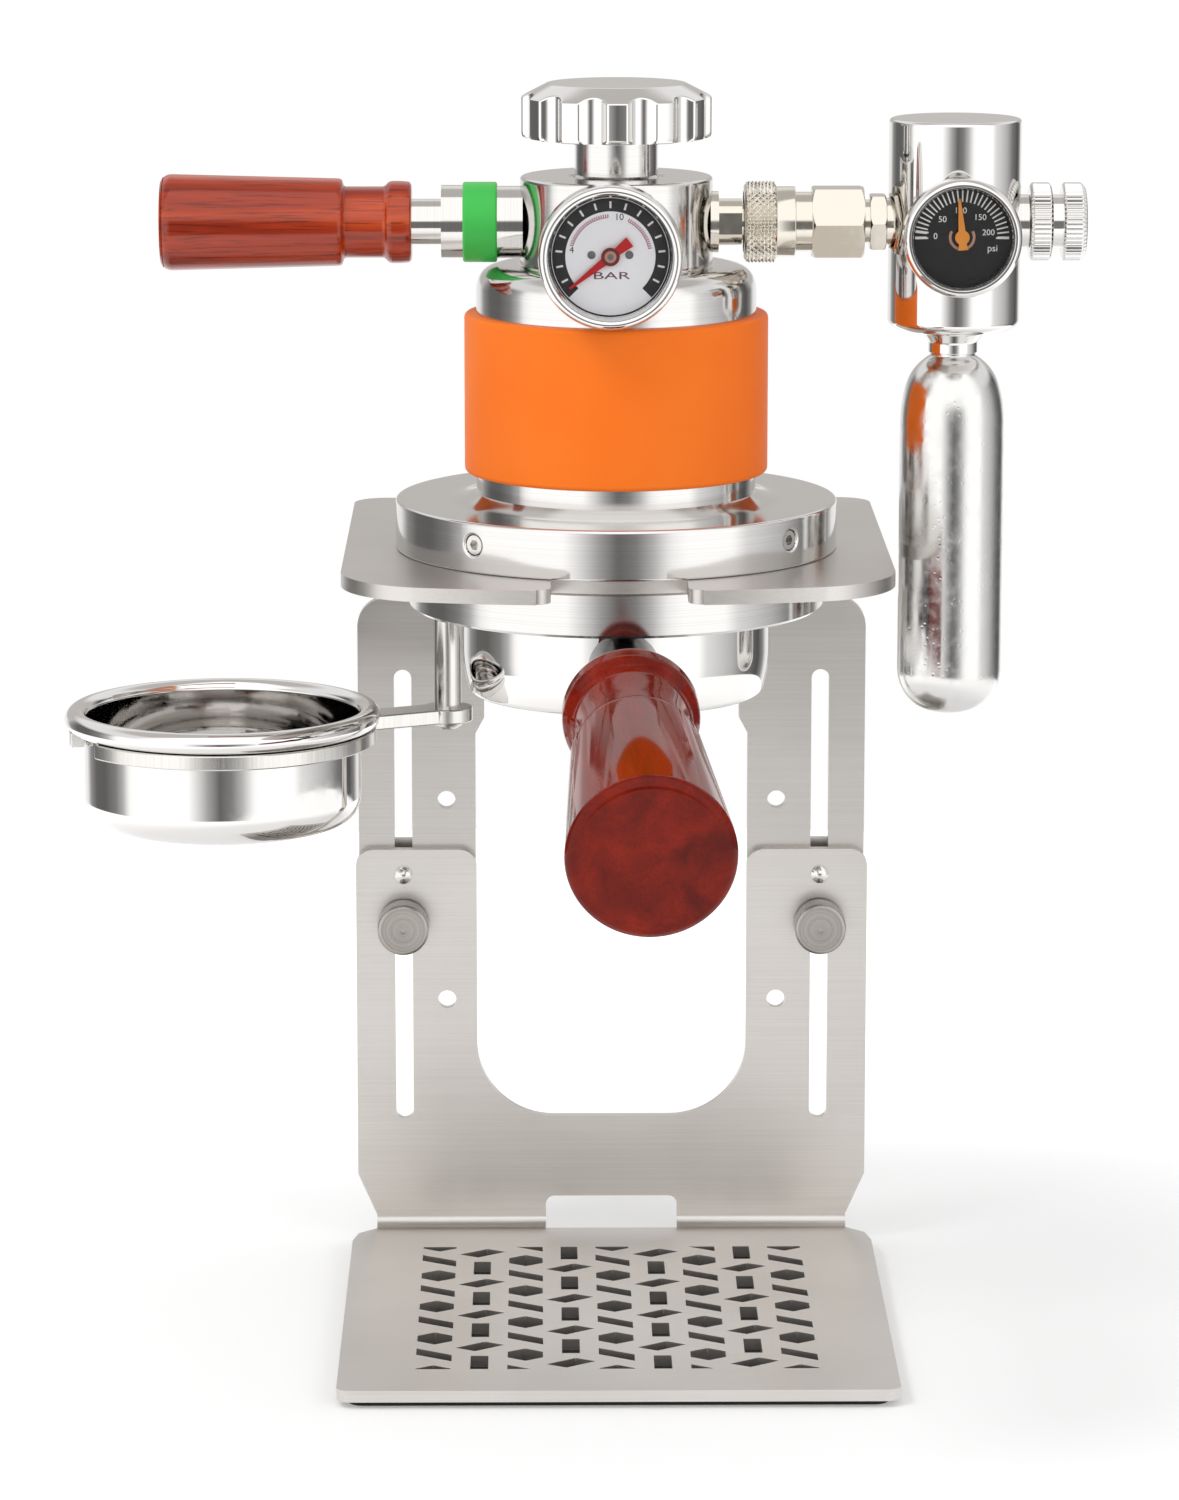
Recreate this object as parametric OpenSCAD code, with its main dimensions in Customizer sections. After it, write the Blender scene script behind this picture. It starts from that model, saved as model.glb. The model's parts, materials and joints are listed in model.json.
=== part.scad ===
// Pneumatic espresso maker on a folding-height sheet stand, with its gas regulator and drip cup.
// Millimetres. +Z is up, -Y is the front. The origin is on the floor, straight under the brew
// group's axis. Every height that ends in _h is measured from the base plate's top face.

/* [Stand] */
// Width of the base plate
base_w = 118; // [112:1:130]
// From the group axis forward to the front edge of the base plate
base_front = 56.6; // [52:0.1:64]
// Sheet thickness of the lower bracket
lower_t = 2.5; // [2:0.1:3]
// Thickness of the rubber mat under the base plate
mat_t = 1.5; // [1:0.1:3]
// From the group axis back to the front face of the lower upright
upright_y = 67.6; // [66:0.1:72]
// Width of the lower upright
upright_w = 116; // [112:0.5:118]
// Width of the opening between the lower arms
opening_w = 61.2; // [58:0.1:64]
// Bottom edge of that opening
opening_h = 25.8; // [22:0.1:30]
// Corner radius of that opening
opening_r = 17.5; // [10:0.5:22]
// Top of the lower arms
arm_h = 88.2; // [86:0.1:92]
// Distance of the slots from the middle
slot_x = 47.2; // [44:0.1:50]
// Width of the slots
slot_w = 4; // [3.5:0.1:4.5]
// Bottom end of the lower slots
slot_bottom_h = 25.2; // [22:0.1:28]
// Axis of the clamp knobs
clamp_h = 71; // [69:0.1:73]
// Axis of the guide screws
guide_h = 82.3; // [81:0.1:83]
// Diameter of the spare fixing holes
spare_d = 4.1; // [3:0.1:5]
// Distance of the spare holes from the middle
spare_x = 37.4; // [36:0.1:39]
// Height of the spare holes in the lower bracket
spare_low_h = 53.3; // [50:0.1:56]
// Height of the spare holes in the upper bracket
spare_high_h = 99.2; // [96:0.1:102]
// Width of the notch at the bend
notch_w = 30; // [20:0.5:36]
// Height of the notch at the bend
notch_h = 6.9; // [5:0.1:9]

/* [Upper bracket] */
// Width of the upper bracket
upper_w = 114.6; // [112:0.2:116]
// Sheet thickness of the upper bracket
upper_t = 3; // [2.5:0.1:3]
// Bottom edge of the upper arms
upper_bottom_h = 64; // [62:0.1:66]
// Top end of the upper slots
slot_top_h = 129.2; // [127:0.1:131]
// Half width of the opening between the upper arms, above its step
upper_open_x = 28.8; // [27:0.1:30]
// Top face of the group plate
plate_h = 169.1; // [168:0.1:170]
// From the group axis forward to the front of the group plate
plate_front = 58; // [56:0.1:60]
// Radius of the group plate's front corners
plate_corner_r = 22; // [16:0.5:26]
// Radius of the group plate's bowed front edge
plate_bow_r = 180; // [150:5:300]
// Width of the mouth between the two fingers
mouth_w = 28; // [20:0.5:30]

/* [Brew group] */
// Radius of the flange
flange_r = 46.7; // [45:0.1:48]
// Thickness of the flange
flange_t = 10.5; // [9:0.1:11]
// Outer radius of the chamber
chamber_r = 29.5; // [29:0.1:30]
// Inner radius of the chamber
chamber_bore_r = 25.5; // [24:0.1:26]
// Radius of the silicone sleeve
sleeve_r = 32; // [31:0.1:33]
// Height of the chamber above the group plate
chamber_h = 47.9; // [46:0.1:52]
// From the flange up to the sleeve
sleeve_gap = 5.7; // [4:0.1:7]
// Height of the sleeve
sleeve_h = 33.5; // [30:0.1:36]
// Height of the cap's shoulder above the chamber
cap_shoulder_h = 11.9; // [11:0.1:13]
// Radius of the cap's head
head_r = 20.25; // [19:0.05:21]
// Height of the cap's head above its shoulder
head_h = 18.6; // [18:0.1:21]
// Radius of the fill knob's stem
stem_r = 8.75; // [8:0.05:9.5]
// Radius of the fill knob
knob_r = 20.05; // [19:0.05:21]
// Gap between the head and the fill knob
knob_gap = 8.1; // [7:0.1:10]
// Thickness of the fill knob
knob_h = 11.3; // [10:0.1:13]
// Number of lobes round the fill knob
knob_lobes = 12; // [8:1:16]
// Radius of the bayonet ring
ring_r = 43.9; // [42:0.1:45]
// Height of the bayonet ring below the group plate
ring_t = 9.4; // [9.4:0.1:10]

/* [Portafilter] */
// Radius of the bowl
bowl_r = 32.7; // [32:0.1:33]
// Height of the bowl
bowl_h = 23.2; // [22:0.1:26]
// Droop of the handle
handle_droop = 9.8; // [0:0.1:15]
// Turn of the handle to the right
handle_turn = 2.1; // [0:0.1:5]
// From the group axis to the end of the handle
handle_len = 138.4; // [120:0.1:145]
// Radius of the grip at its end
grip_end_r = 16.7; // [14:0.1:18]
// Drop of the handle's axis below the bowl's top, over the middle
handle_drop = 6.9; // [6:0.1:8]

/* [Side handle and regulator] */
// Height of the cross axis above the cap's shoulder
side_up = 8.9; // [8.5:0.1:9.5]
// End of the side grip, left of the group axis
side_grip_end = 95.3; // [88:0.1:100]
// Regulator axis, right of the group axis
reg_x = 71; // [71:0.1:73]
// Radius of the regulator body
reg_r = 13.9; // [13:0.1:14]
// From the cross axis down to the regulator's lower end
reg_down = 22.8; // [21:0.1:25]
// From the cross axis up to the regulator's top
reg_up = 21.7; // [20:0.1:24]
// Height of the cone under the regulator
cone_h = 4.7; // [4.2:0.1:5.5]
// Radius of the gas cartridge
cartridge_r = 11; // [10.5:0.1:11.2]
// Length of the cartridge below its shoulder
cartridge_len = 62.8; // [56:0.1:70]
// Drop of the regulator gauge's centre below the cross axis
reg_gauge_drop = 0.9; // [0:0.1:2]
// Radius of the regulator gauge
reg_gauge_r = 12.25; // [11.5:0.05:12.5]

/* [Brew gauge] */
// Drop of the brew gauge's centre below the cross axis
gauge_drop = 3.2; // [2:0.1:3.2]
// Distance of the brew gauge left of the middle
gauge_x = 1.7; // [0:0.1:3]
// Radius of the brew gauge's bezel
gauge_r = 14.8; // [14:0.1:15]
// From the group axis forward to the brew gauge's face
gauge_front = 41; // [40.5:0.1:43]

/* [Drip cup] */
// Distance of the hanging rod left of the middle
drip_x = 36.5; // [35:0.1:38]
// Distance of the hanging rod behind the group axis
drip_y = 39; // [38:0.1:41]
// From the group plate's underside down to the swinging arm
drip_drop = 39.2; // [36:0.1:44]
// Thickness of the swinging arm
drip_arm_t = 3.2; // [2.5:0.1:3.5]
// Angle of the arm from straight left towards the front
drip_angle = 25.3; // [0:0.1:40]
// Radius of the cup's wall
cup_r = 29.9; // [28:0.1:30]
// Depth of the cup
cup_depth = 23.5; // [18:0.1:26]

/* [Hidden] */
$fn = 96;

// Heights from the floor
base_z = mat_t + lower_t;
plate_z = base_z + plate_h;
plate_under_z = plate_z - upper_t;
drip_arm_z = plate_under_z - drip_drop;
ring_z = plate_under_z - ring_t;
flange_z = plate_z + flange_t;
chamber_top_z = plate_z + chamber_h;
shoulder_z = chamber_top_z + cap_shoulder_h;
head_z = shoulder_z + head_h;
side_z = shoulder_z + side_up;
clamp_z = base_z + clamp_h;
guide_z = base_z + guide_h;

// Faces of the two uprights, front to back
lower_back = upright_y + lower_t;
upper_back = lower_back + upper_t;

// Bends and outlines of the sheet parts
bend_r = 2.5;
arm_corner_r = 4;
shoulder_r = 6.5;
base_corner_r = 3;
bend_half_w = 53.7;
taper_h = 12.2;
base_taper_y = 55;
upper_step_low_h = 114.5;
upper_step_high_h = 118.2;
upper_open_top_h = 134;
upper_shoulder_h = 145.6;
neck_half_w = 38;
plate_rear = 66;
plate_rear_r = 7;
upper_bend_r = 3;

// Perforated field of the base plate
field_x0 = -39;
field_pitch_x = 9.72;
field_pitch_y = 23.4;
field_y0 = 3.6;
field_front = -41.6;
field_back = 49.6;
field_columns = 9;

// Group ring, from its underside up
lip_t = 2.5;
channel_t = 3;
lip_bore_r = 33.3;
channel_r = 37.5;
gasket_in_r = 26;
gasket_out_r = 33.5;
gasket_t = 2.4;
gasket_z = ring_z + lip_t + channel_t;
spigot_r = 29;
spigot_bore_r = 25;
plate_hole_r = 29.3;
mouth_stop_r = ring_r + 0.3;
spigot_top_z = plate_z + 7.5;
web_z = gasket_z + 1.7;
web_t = 2.5;
lug_angle = 45;
lug_half_angle = 17;
grub_angles = [-40, 50, 140, 230];
grub_z = plate_z + flange_t / 2 + 0.6;

// Portafilter
basket_rim_t = 1;
bowl_top_z = gasket_z - basket_rim_t;
bowl_z = bowl_top_z - bowl_h;
bowl_in_r = 29.8;
bowl_mouth_r = 28.4;
basket_r = 28.6;
basket_low_z = bowl_z + 1.6;
basket_spring_z = bowl_top_z - 5;
basket_wire_r = 0.8;
basket_wire_at = 29.45;
lug_low_z = ring_z + lip_t + 0.3;
lug_t = 2.3;
lug_r = 37;
stem_core_r = 4;
stem_core_end = 100;
stem_core_gap = 0.1;
bolster_start = 33.5;
bolster_end = 55;
collar_start = 58;
collar_end = 66;
grip_start = 84;

// Cap, stem and knob
cap_skirt_r = chamber_bore_r - 0.2;
cap_skirt_z = chamber_top_z - 14;
cap_bore_r = 7.1;
cap_inner_r = 21;
port_in = 9.5;
stem_thread_r = 7;
stem_flange_z = head_z + 0.4;
stem_low_z = head_z - 17;
knob_low_z = head_z + knob_gap;
knob_top_z = knob_low_z + knob_h;
knob_slope_h = 2.6;
knob_side = knob_h - knob_slope_h;
knob_flat_r = 14.5;

// Side handle, distances from the group axis to the left
socket_in = 17.5;
socket_end = 25;
band_end = 32.2;
nut_end = 36.7;
rod_end = 42.9;
side_collar_end = 48.4;
side_neck_end = 57.4;
thread_r = 4;
rod_r = 4.85;
tang_r = 3;
tang_end = 80;

// Coupler, distances from the group axis to the right
plug_collar_end = 21.4;
plug_neck_end = 26.3;
plug_end = 38.6;
plug_r = 4;
sleeve_start = 26.7;
knurl_end = 33.5;
sleeve_end = 37.5;
socket_neck_end = 40.9;
hex_end = 51.9;
thin_end = 53.1;
outlet_end = 56.5;
hex_af = 14.3;
outlet_af = 11.2;
ball_x = 35;
ball_count = 4;

// Regulator
reg_left = reg_x - reg_r;
reg_right = reg_x + reg_r;
reg_low_z = side_z - reg_down;
reg_high_z = side_z + reg_up;
cone_low_z = reg_low_z - cone_h;
cartridge_seat_z = reg_low_z + 6.2;
bonnet_end = 86.6;
lock_end = 91.3;
adjust_neck_end = 93.5;
adjust_end = 98.4;
disc_r = 8.15;
adjust_screw_r = 3.4;
adjust_tip = 81;
reg_gauge_z = side_z - reg_gauge_drop;
reg_gauge_front = 26.5;
cartridge_shoulder_h = 14.3;
cartridge_body_z = cone_low_z - cartridge_shoulder_h;
cartridge_low_z = cartridge_body_z - cartridge_len;
cartridge_neck_r = 4.75;
cartridge_wall = 1.8;

// Brew gauge
brew_gauge_z = side_z - gauge_drop;
brew_case_back = 31;

// Drip cup
arm_z = drip_arm_z - drip_arm_t;
arm_len = norm([drip_x, drip_y]);
cup_centre = [-drip_x - arm_len * cos(drip_angle), drip_y - arm_len * sin(drip_angle)];
rim_r = 2.3;
rim_z = drip_arm_z + rim_r;
cup_low_z = rim_z - cup_depth;
cup_wall = 0.8;
holder_in_r = cup_r + 0.3;
holder_out_r = 33.2;

module tube(r_out, r_in, z0, z1) {
    translate([0, 0, z0])
        difference() {
            cylinder(r = r_out, h = z1 - z0);
            translate([0, 0, -1]) cylinder(r = r_in, h = z1 - z0 + 2);
        }
}

module rod(r, z0, z1) {
    translate([0, 0, z0]) cylinder(r = r, h = z1 - z0);
}

// Ring of round wire
module wire_ring(ring_radius, wire_radius, z) {
    translate([0, 0, z])
        rotate_extrude() translate([ring_radius, 0]) circle(r = wire_radius, $fn = 16);
}

// Rectangle from (x0, y0) to (x1, y1) with corners of radius r
module round_box(x0, x1, y0, y1, r) {
    translate([x0 + r, y0]) square([x1 - x0 - 2 * r, y1 - y0]);
    translate([x0, y0 + r]) square([x1 - x0, y1 - y0 - 2 * r]);
    for (x = [x0 + r, x1 - r], y = [y0 + r, y1 - r])
        translate([x, y]) circle(r = r);
}

// Upright slot, from its lower to its upper end
module slot(x, low, high) {
    for (y = [low + slot_w / 2, high - slot_w / 2])
        translate([x, y]) circle(d = slot_w);
    translate([x - slot_w / 2, low + slot_w / 2]) square([slot_w, high - low - slot_w]);
}

// Turns a front outline (x, height) into a sheet between two depths
module upright_sheet(front, back) {
    translate([0, back, 0]) rotate([90, 0, 0]) linear_extrude(back - front) children();
}

// Puts children, made along +Z, along the left, the right or the handle's axis, or facing front
module to_left() { translate([0, 0, side_z]) rotate([0, -90, 0]) children(); }
module to_right() { translate([0, 0, side_z]) rotate([0, 90, 0]) children(); }
module to_handle() {
    translate([0, 0, bowl_top_z - handle_drop]) rotate([90 + handle_droop, 0, handle_turn]) children();
}
module to_front(x, z) { translate([x, 0, z]) rotate([90, 0, 0]) children(); }
module at_regulator() { translate([reg_x, 0, 0]) children(); }
module at_drip_rod() { translate([-drip_x, drip_y, 0]) children(); }
module at_cup() { translate([cup_centre[0], cup_centre[1], 0]) children(); }

// One hexagonal hole, a slanted slot, an upright slot and a rhombus of the base pattern
module hex_hole() { polygon([[-3.75, -2], [0, -4.4], [3.75, -2], [3.75, 2], [0, 4.4], [-3.75, 2]]); }
module slant_hole() { polygon([[-3.8, 0.1], [3.8, -4.6], [3.8, -0.1], [-3.8, 4.6]]); }
module rect_hole() { translate([-1.9, -5]) square([3.8, 10]); }
module rhomb_hole() { polygon([[-5.2, -1], [-1, -3.4], [5.2, 1], [1, 3.4]]); }

// Pattern of openings, one column after another, every second column shifted by half a pitch
module base_pattern() {
    intersection() {
        translate([field_x0 - 5, field_front]) square([100, field_back - field_front]);
        for (i = [0 : field_columns - 1]) {
            shift = floor(i / 2) % 2;
            for (n = [-3 : 3])
                translate([field_x0 + i * field_pitch_x, field_y0 + n * field_pitch_y]) {
                    if (i % 2 == 0) {
                        translate([0, shift * field_pitch_y / 2]) hex_hole();
                        translate([0, (1 - shift) * field_pitch_y / 2]) slant_hole();
                    } else {
                        translate([0, shift * field_pitch_y / 2 + 5.9]) rect_hole();
                        translate([0, (1 - shift) * field_pitch_y / 2 + 5.9]) rhomb_hole();
                    }
                }
        }
    }
}

module base_outline() {
    difference() {
        round_box(-base_w / 2, base_w / 2, -base_front, upright_y - bend_r, base_corner_r);
        for (side = [-1, 1])
            scale([side, 1])
                polygon([[base_w / 2 + 1, base_taper_y], [base_w / 2, base_taper_y],
                         [base_w / 2 - 1.2, base_taper_y + 6], [bend_half_w, upright_y - bend_r],
                         [bend_half_w, upright_y], [base_w / 2 + 1, upright_y]]);
    }
}

module base_mat() {
    color("#1a1a1a")
        linear_extrude(mat_t)
            round_box(-base_w / 2 + 2.5, base_w / 2 - 2.5, -base_front + 2.5, upright_y - 16, base_corner_r);
}

module lower_upright_outline() {
    x = upright_w / 2;
    gap = opening_w / 2;
    foot = base_z + bend_r;
    difference() {
        union() {
            polygon([[-bend_half_w, foot], [bend_half_w, foot], [x, base_z + taper_h],
                     [x, base_z + opening_h + 20], [-x, base_z + opening_h + 20], [-x, base_z + taper_h]]);
            for (side = [-1, 1])
                scale([side, 1])
                    round_box(gap, x, base_z + opening_h + 10, base_z + arm_h, arm_corner_r);
        }
        round_box(-gap, gap, base_z + opening_h, base_z + opening_h + 60, opening_r);
        translate([-gap, base_z + opening_h + 30]) square([opening_w, 40]);
        for (side = [-1, 1]) {
            slot(side * slot_x, base_z + slot_bottom_h, clamp_z + slot_w / 2);
            translate([side * spare_x, base_z + spare_low_h]) circle(d = spare_d);
            translate([side * slot_x, guide_z]) circle(d = 3);
        }
        round_box(-notch_w / 2, notch_w / 2, base_z - 10, base_z + notch_h, 2);
    }
}

module base_bracket() {
    color("#b9b5ae") {
        difference() {
            translate([0, 0, mat_t]) linear_extrude(lower_t) base_outline();
            translate([0, 0, mat_t - 1]) linear_extrude(lower_t + 2) base_pattern();
        }
        // The bend, a quarter of a thick tube, open in the middle
        difference() {
            translate([-bend_half_w, upright_y - bend_r, base_z + bend_r])
                rotate([0, 90, 0])
                    difference() {
                        cylinder(r = bend_r + lower_t, h = 2 * bend_half_w);
                        translate([0, 0, -1]) cylinder(r = bend_r, h = 2 * bend_half_w + 2);
                        translate([-20, -10, -1]) cube([20, 20, 200]);
                        translate([-10, -20, -1]) cube([20, 20, 200]);
                    }
            translate([-notch_w / 2, upright_y - bend_r, 0]) cube([notch_w, 20, 20]);
        }
        upright_sheet(upright_y, lower_back) lower_upright_outline();
    }
}

// Pan-head screws that hold the nut plates behind the upper bracket
module guide_screws() {
    color("#d8d5cf")
        for (side = [-1, 1])
            translate([side * slot_x, 0, guide_z]) rotate([-90, 0, 0]) {
                rod(1.5, upright_y - 0.2, upper_back + 2.2);
                intersection() {
                    translate([0, 0, upright_y + 1.2]) sphere(r = 2.6, $fn = 48);
                    rod(1.95, upright_y - 1.4, upright_y);
                }
            }
}

module guide_nut_plates() {
    color("#8f8c87")
        for (side = [-1, 1])
            difference() {
                upright_sheet(upper_back + 0.1, upper_back + 2.1)
                    round_box(side * slot_x - 5, side * slot_x + 5, guide_z - 7.3, guide_z + 7.3, 2);
                translate([side * slot_x, 0, guide_z]) rotate([-90, 0, 0]) rod(1.5, upright_y, upper_back + 5);
            }
}

module group_plate_outline() {
    x = upper_w / 2;
    corner_x = x - plate_corner_r;
    bow_y = plate_bow_r - plate_front;
    corner_y = bow_y - sqrt(pow(plate_bow_r - plate_corner_r, 2) - corner_x * corner_x);
    reach = plate_bow_r / (plate_bow_r - plate_corner_r);
    tangent = [corner_x * reach, bow_y + (corner_y - bow_y) * reach];
    difference() {
        intersection() {
            round_box(-x, x, -plate_front - 20, plate_rear, plate_rear_r);
            translate([0, bow_y]) circle(r = plate_bow_r, $fn = 360);
        }
        for (side = [-1, 1])
            scale([side, 1])
                difference() {
                    polygon([[corner_x, corner_y], [x + 5, corner_y], [x + 5, -plate_front - 30],
                             [tangent[0] + 3.4, -plate_front - 30], tangent]);
                    translate([corner_x, corner_y]) circle(r = plate_corner_r + 0.05);
                }
        circle(r = plate_hole_r);
        mouth();
    }
}

// Mouth of the group plate, with rounded finger ends
module mouth() {
    r = 3;
    edge = plate_front - 1.5;
    difference() {
        translate([-mouth_w / 2, -plate_front - 5]) square([mouth_w, plate_front]);
        circle(r = mouth_stop_r);
    }
    for (side = [-1, 1])
        scale([side, 1])
            difference() {
                translate([mouth_w / 2 - 1, -edge - 3]) square([r + 1, r + 3]);
                translate([mouth_w / 2 + r, -edge + r]) circle(r = r);
            }
}

module upper_upright_outline() {
    x = upper_w / 2;
    low_gap = opening_w / 2 + 0.2;
    bottom = base_z + upper_bottom_h;
    difference() {
        union() {
            round_box(-x, x, bottom, base_z + upper_shoulder_h, shoulder_r);
            translate([-neck_half_w, base_z + upper_shoulder_h - shoulder_r])
                square([2 * neck_half_w, plate_under_z - upper_bend_r - base_z - upper_shoulder_h + shoulder_r]);
        }
        // Opening between the arms, narrower above its step
        polygon([[-low_gap, bottom - 1], [low_gap, bottom - 1], [low_gap, base_z + upper_step_low_h],
                 [upper_open_x, base_z + upper_step_high_h], [upper_open_x, base_z + upper_open_top_h - 9],
                 [-upper_open_x, base_z + upper_open_top_h - 9],
                 [-upper_open_x, base_z + upper_step_high_h], [-low_gap, base_z + upper_step_low_h]]);
        round_box(-upper_open_x, upper_open_x, base_z + upper_open_top_h - 24, base_z + upper_open_top_h, 10);
        for (side = [-1, 1]) {
            slot(side * slot_x, guide_z - slot_w / 2 - 1, base_z + slot_top_h);
            translate([side * spare_x, base_z + spare_high_h]) circle(d = spare_d);
            translate([side * slot_x, clamp_z]) circle(d = 3.6);
        }
    }
}

module upper_bracket() {
    color("#b9b5ae") {
        difference() {
            union() {
                translate([0, 0, plate_under_z]) linear_extrude(upper_t) group_plate_outline();
                translate([-neck_half_w, plate_rear - 1, plate_under_z])
                    cube([2 * neck_half_w, lower_back - upper_bend_r - plate_rear + 1, upper_t]);
            }
            translate([-drip_x, drip_y, plate_under_z - 1]) cylinder(r = 2, h = upper_t + 2);
        }
        // The bend over the neck
        translate([-neck_half_w, lower_back - upper_bend_r, plate_under_z - upper_bend_r])
            rotate([0, 90, 0])
                difference() {
                    cylinder(r = upper_bend_r + upper_t, h = 2 * neck_half_w);
                    translate([0, 0, -1]) cylinder(r = upper_bend_r, h = 2 * neck_half_w + 2);
                    translate([0, -10, -1]) cube([20, 20, 200]);
                    translate([-10, -20, -1]) cube([20, 20, 200]);
                }
        upright_sheet(lower_back, upper_back) upper_upright_outline();
    }
}

// Studs pressed into the upper bracket, riding in the lower bracket's slots
module clamp_studs() {
    color("#c9c6c0")
        for (side = [-1, 1])
            translate([side * slot_x, 0, clamp_z]) rotate([-90, 0, 0]) {
                rod(1.8, upright_y - 5, upper_back);
                rod(3.4, upper_back, upper_back + 1.2);
            }
}

module clamp_knob(side) {
    color("#c4c1bb")
        translate([side * slot_x, 0, clamp_z]) rotate([90, 0, 0])
            difference() {
                union() {
                    rod(4.2, -upright_y, -upright_y + 1);
                    rod(5.8, -upright_y + 1, -upright_y + 6.4);
                    translate([0, 0, -upright_y + 6.4]) cylinder(r1 = 5.8, r2 = 5.1, h = 0.7);
                }
                rod(1.85, -upright_y - 1, -upright_y + 5.1);
            }
}

module left_clamp_knob() { clamp_knob(-1); }
module right_clamp_knob() { clamp_knob(1); }

// Chamber with its flange, made in one piece, with a hollow curve where they meet
module brew_chamber() {
    cove_out = 36;
    cove_up = 1.5;
    cove_r = (pow(cove_out - chamber_r, 2) + cove_up * cove_up) / (2 * cove_up);
    steps = 6;
    sweep = asin((cove_out - chamber_r) / cove_r);
    color("#c9c7c3")
        difference() {
            rotate_extrude()
                polygon(concat(
                    [[chamber_bore_r, plate_z], [flange_r - 0.4, plate_z], [flange_r, plate_z + 0.4],
                     [flange_r, flange_z - 0.7], [flange_r - 0.7, flange_z]],
                    [for (i = [0 : steps])
                        let (a = sweep * i / steps)
                            [cove_out - cove_r * sin(a), flange_z + cove_r * (1 - cos(a))]],
                    [[chamber_r, chamber_top_z], [chamber_bore_r, chamber_top_z]]));
            // Socket for the bayonet ring's spigot
            rod(spigot_r + 0.1, plate_z - 1, spigot_top_z + 0.2);
            for (a = grub_angles)
                rotate([0, 0, a])
                    translate([0, 0, grub_z]) rotate([90, 0, 0]) rod(2, spigot_r - 1, flange_r + 1);
        }
}

module flange_grub_screws() {
    color("#8c8a86")
        for (a = grub_angles)
            rotate([0, 0, a]) translate([0, 0, grub_z]) rotate([90, 0, 0])
                difference() {
                    rod(2, spigot_r, flange_r - 0.5);
                    translate([0, 0, flange_r - 2.5]) cylinder(r = 1.15, h = 3, $fn = 6);
                }
}

module bayonet_ring() {
    lip_top = ring_z + lip_t;
    color("#c6c4c0")
        difference() {
            rotate_extrude()
                polygon([[lip_bore_r, ring_z], [ring_r - 0.6, ring_z], [ring_r, ring_z + 0.6],
                         [ring_r, plate_under_z - 0.5], [ring_r - 0.5, plate_under_z],
                         [spigot_r, plate_under_z], [spigot_r, spigot_top_z], [spigot_bore_r, spigot_top_z],
                         [spigot_bore_r, web_z + web_t], [0, web_z + web_t], [0, web_z],
                         [gasket_in_r - 0.6, web_z], [gasket_in_r - 0.6, gasket_z + gasket_t],
                         [gasket_out_r, gasket_z + gasket_t], [gasket_out_r, gasket_z],
                         [channel_r, gasket_z], [channel_r, lip_top], [lip_bore_r, lip_top]]);
            // Entry slots for the portafilter's lugs
            for (a = [-lug_angle, 180 - lug_angle])
                rotate([0, 0, a]) sector(channel_r, lug_half_angle + 2, ring_z - 1, lip_top + 0.5);
            rod(2, web_z - 1, web_z + web_t + 1);
            for (a = [0 : 60 : 300])
                rotate([0, 0, a]) translate([13, 0, 0]) rod(1.5, web_z - 1, web_z + web_t + 1);
            // Groove for the spigot's seal
            tube(spigot_r + 1, spigot_r - 1.4, plate_z + 1.2, plate_z + 3.2);
        }
}

// Wedge of a disc, centred on +X
module sector(r, half_angle, z0, z1) {
    far = r * 1.5;
    intersection() {
        rod(r, z0, z1);
        translate([0, 0, z0])
            linear_extrude(z1 - z0)
                polygon([[0, 0], [far * cos(half_angle), -far * sin(half_angle)],
                         [far * cos(half_angle), far * sin(half_angle)]]);
    }
}

module spigot_seal() {
    color("#20201f") wire_ring(spigot_r - 0.55, 0.75, plate_z + 2.2);
}

module silicone_sleeve() {
    edge = 0.8;
    low = plate_z + flange_t + sleeve_gap;
    high = low + sleeve_h;
    color("#f97a22")
        rotate_extrude()
            polygon([[chamber_r, low], [sleeve_r - edge, low], [sleeve_r - 0.2, low + 0.25],
                     [sleeve_r, low + edge], [sleeve_r, high - edge], [sleeve_r - 0.2, high - 0.25],
                     [sleeve_r - edge, high], [chamber_r, high]]);
}

module group_gasket() {
    color("#33302e") tube(gasket_out_r - 0.1, gasket_in_r, gasket_z + 0.02, gasket_z + gasket_t);
}

module shower_screen() {
    screen_r = 24.6;
    color("#b4b2ae")
        difference() {
            rod(screen_r, web_z - 1.5, web_z);
            rod(screen_r - 0.8, web_z - 0.8, web_z + 1);
            rod(2.05, web_z - 2, web_z + 1);
            for (ring = [1 : 4], i = [0 : 6 * ring - 1])
                rotate([0, 0, i * 60 / ring]) translate([ring * 4.8 + 1, 0, 0]) rod(0.7, web_z - 2, web_z);
        }
}

module screen_screw() {
    color("#9a9894") {
        rod(1.95, web_z - 1.5, web_z + web_t);
        difference() {
            rod(3.4, web_z - 3, web_z - 1.5);
            translate([0, 0, web_z - 3.5]) cylinder(r = 1.2, h = 1.4, $fn = 6);
        }
    }
}

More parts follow.
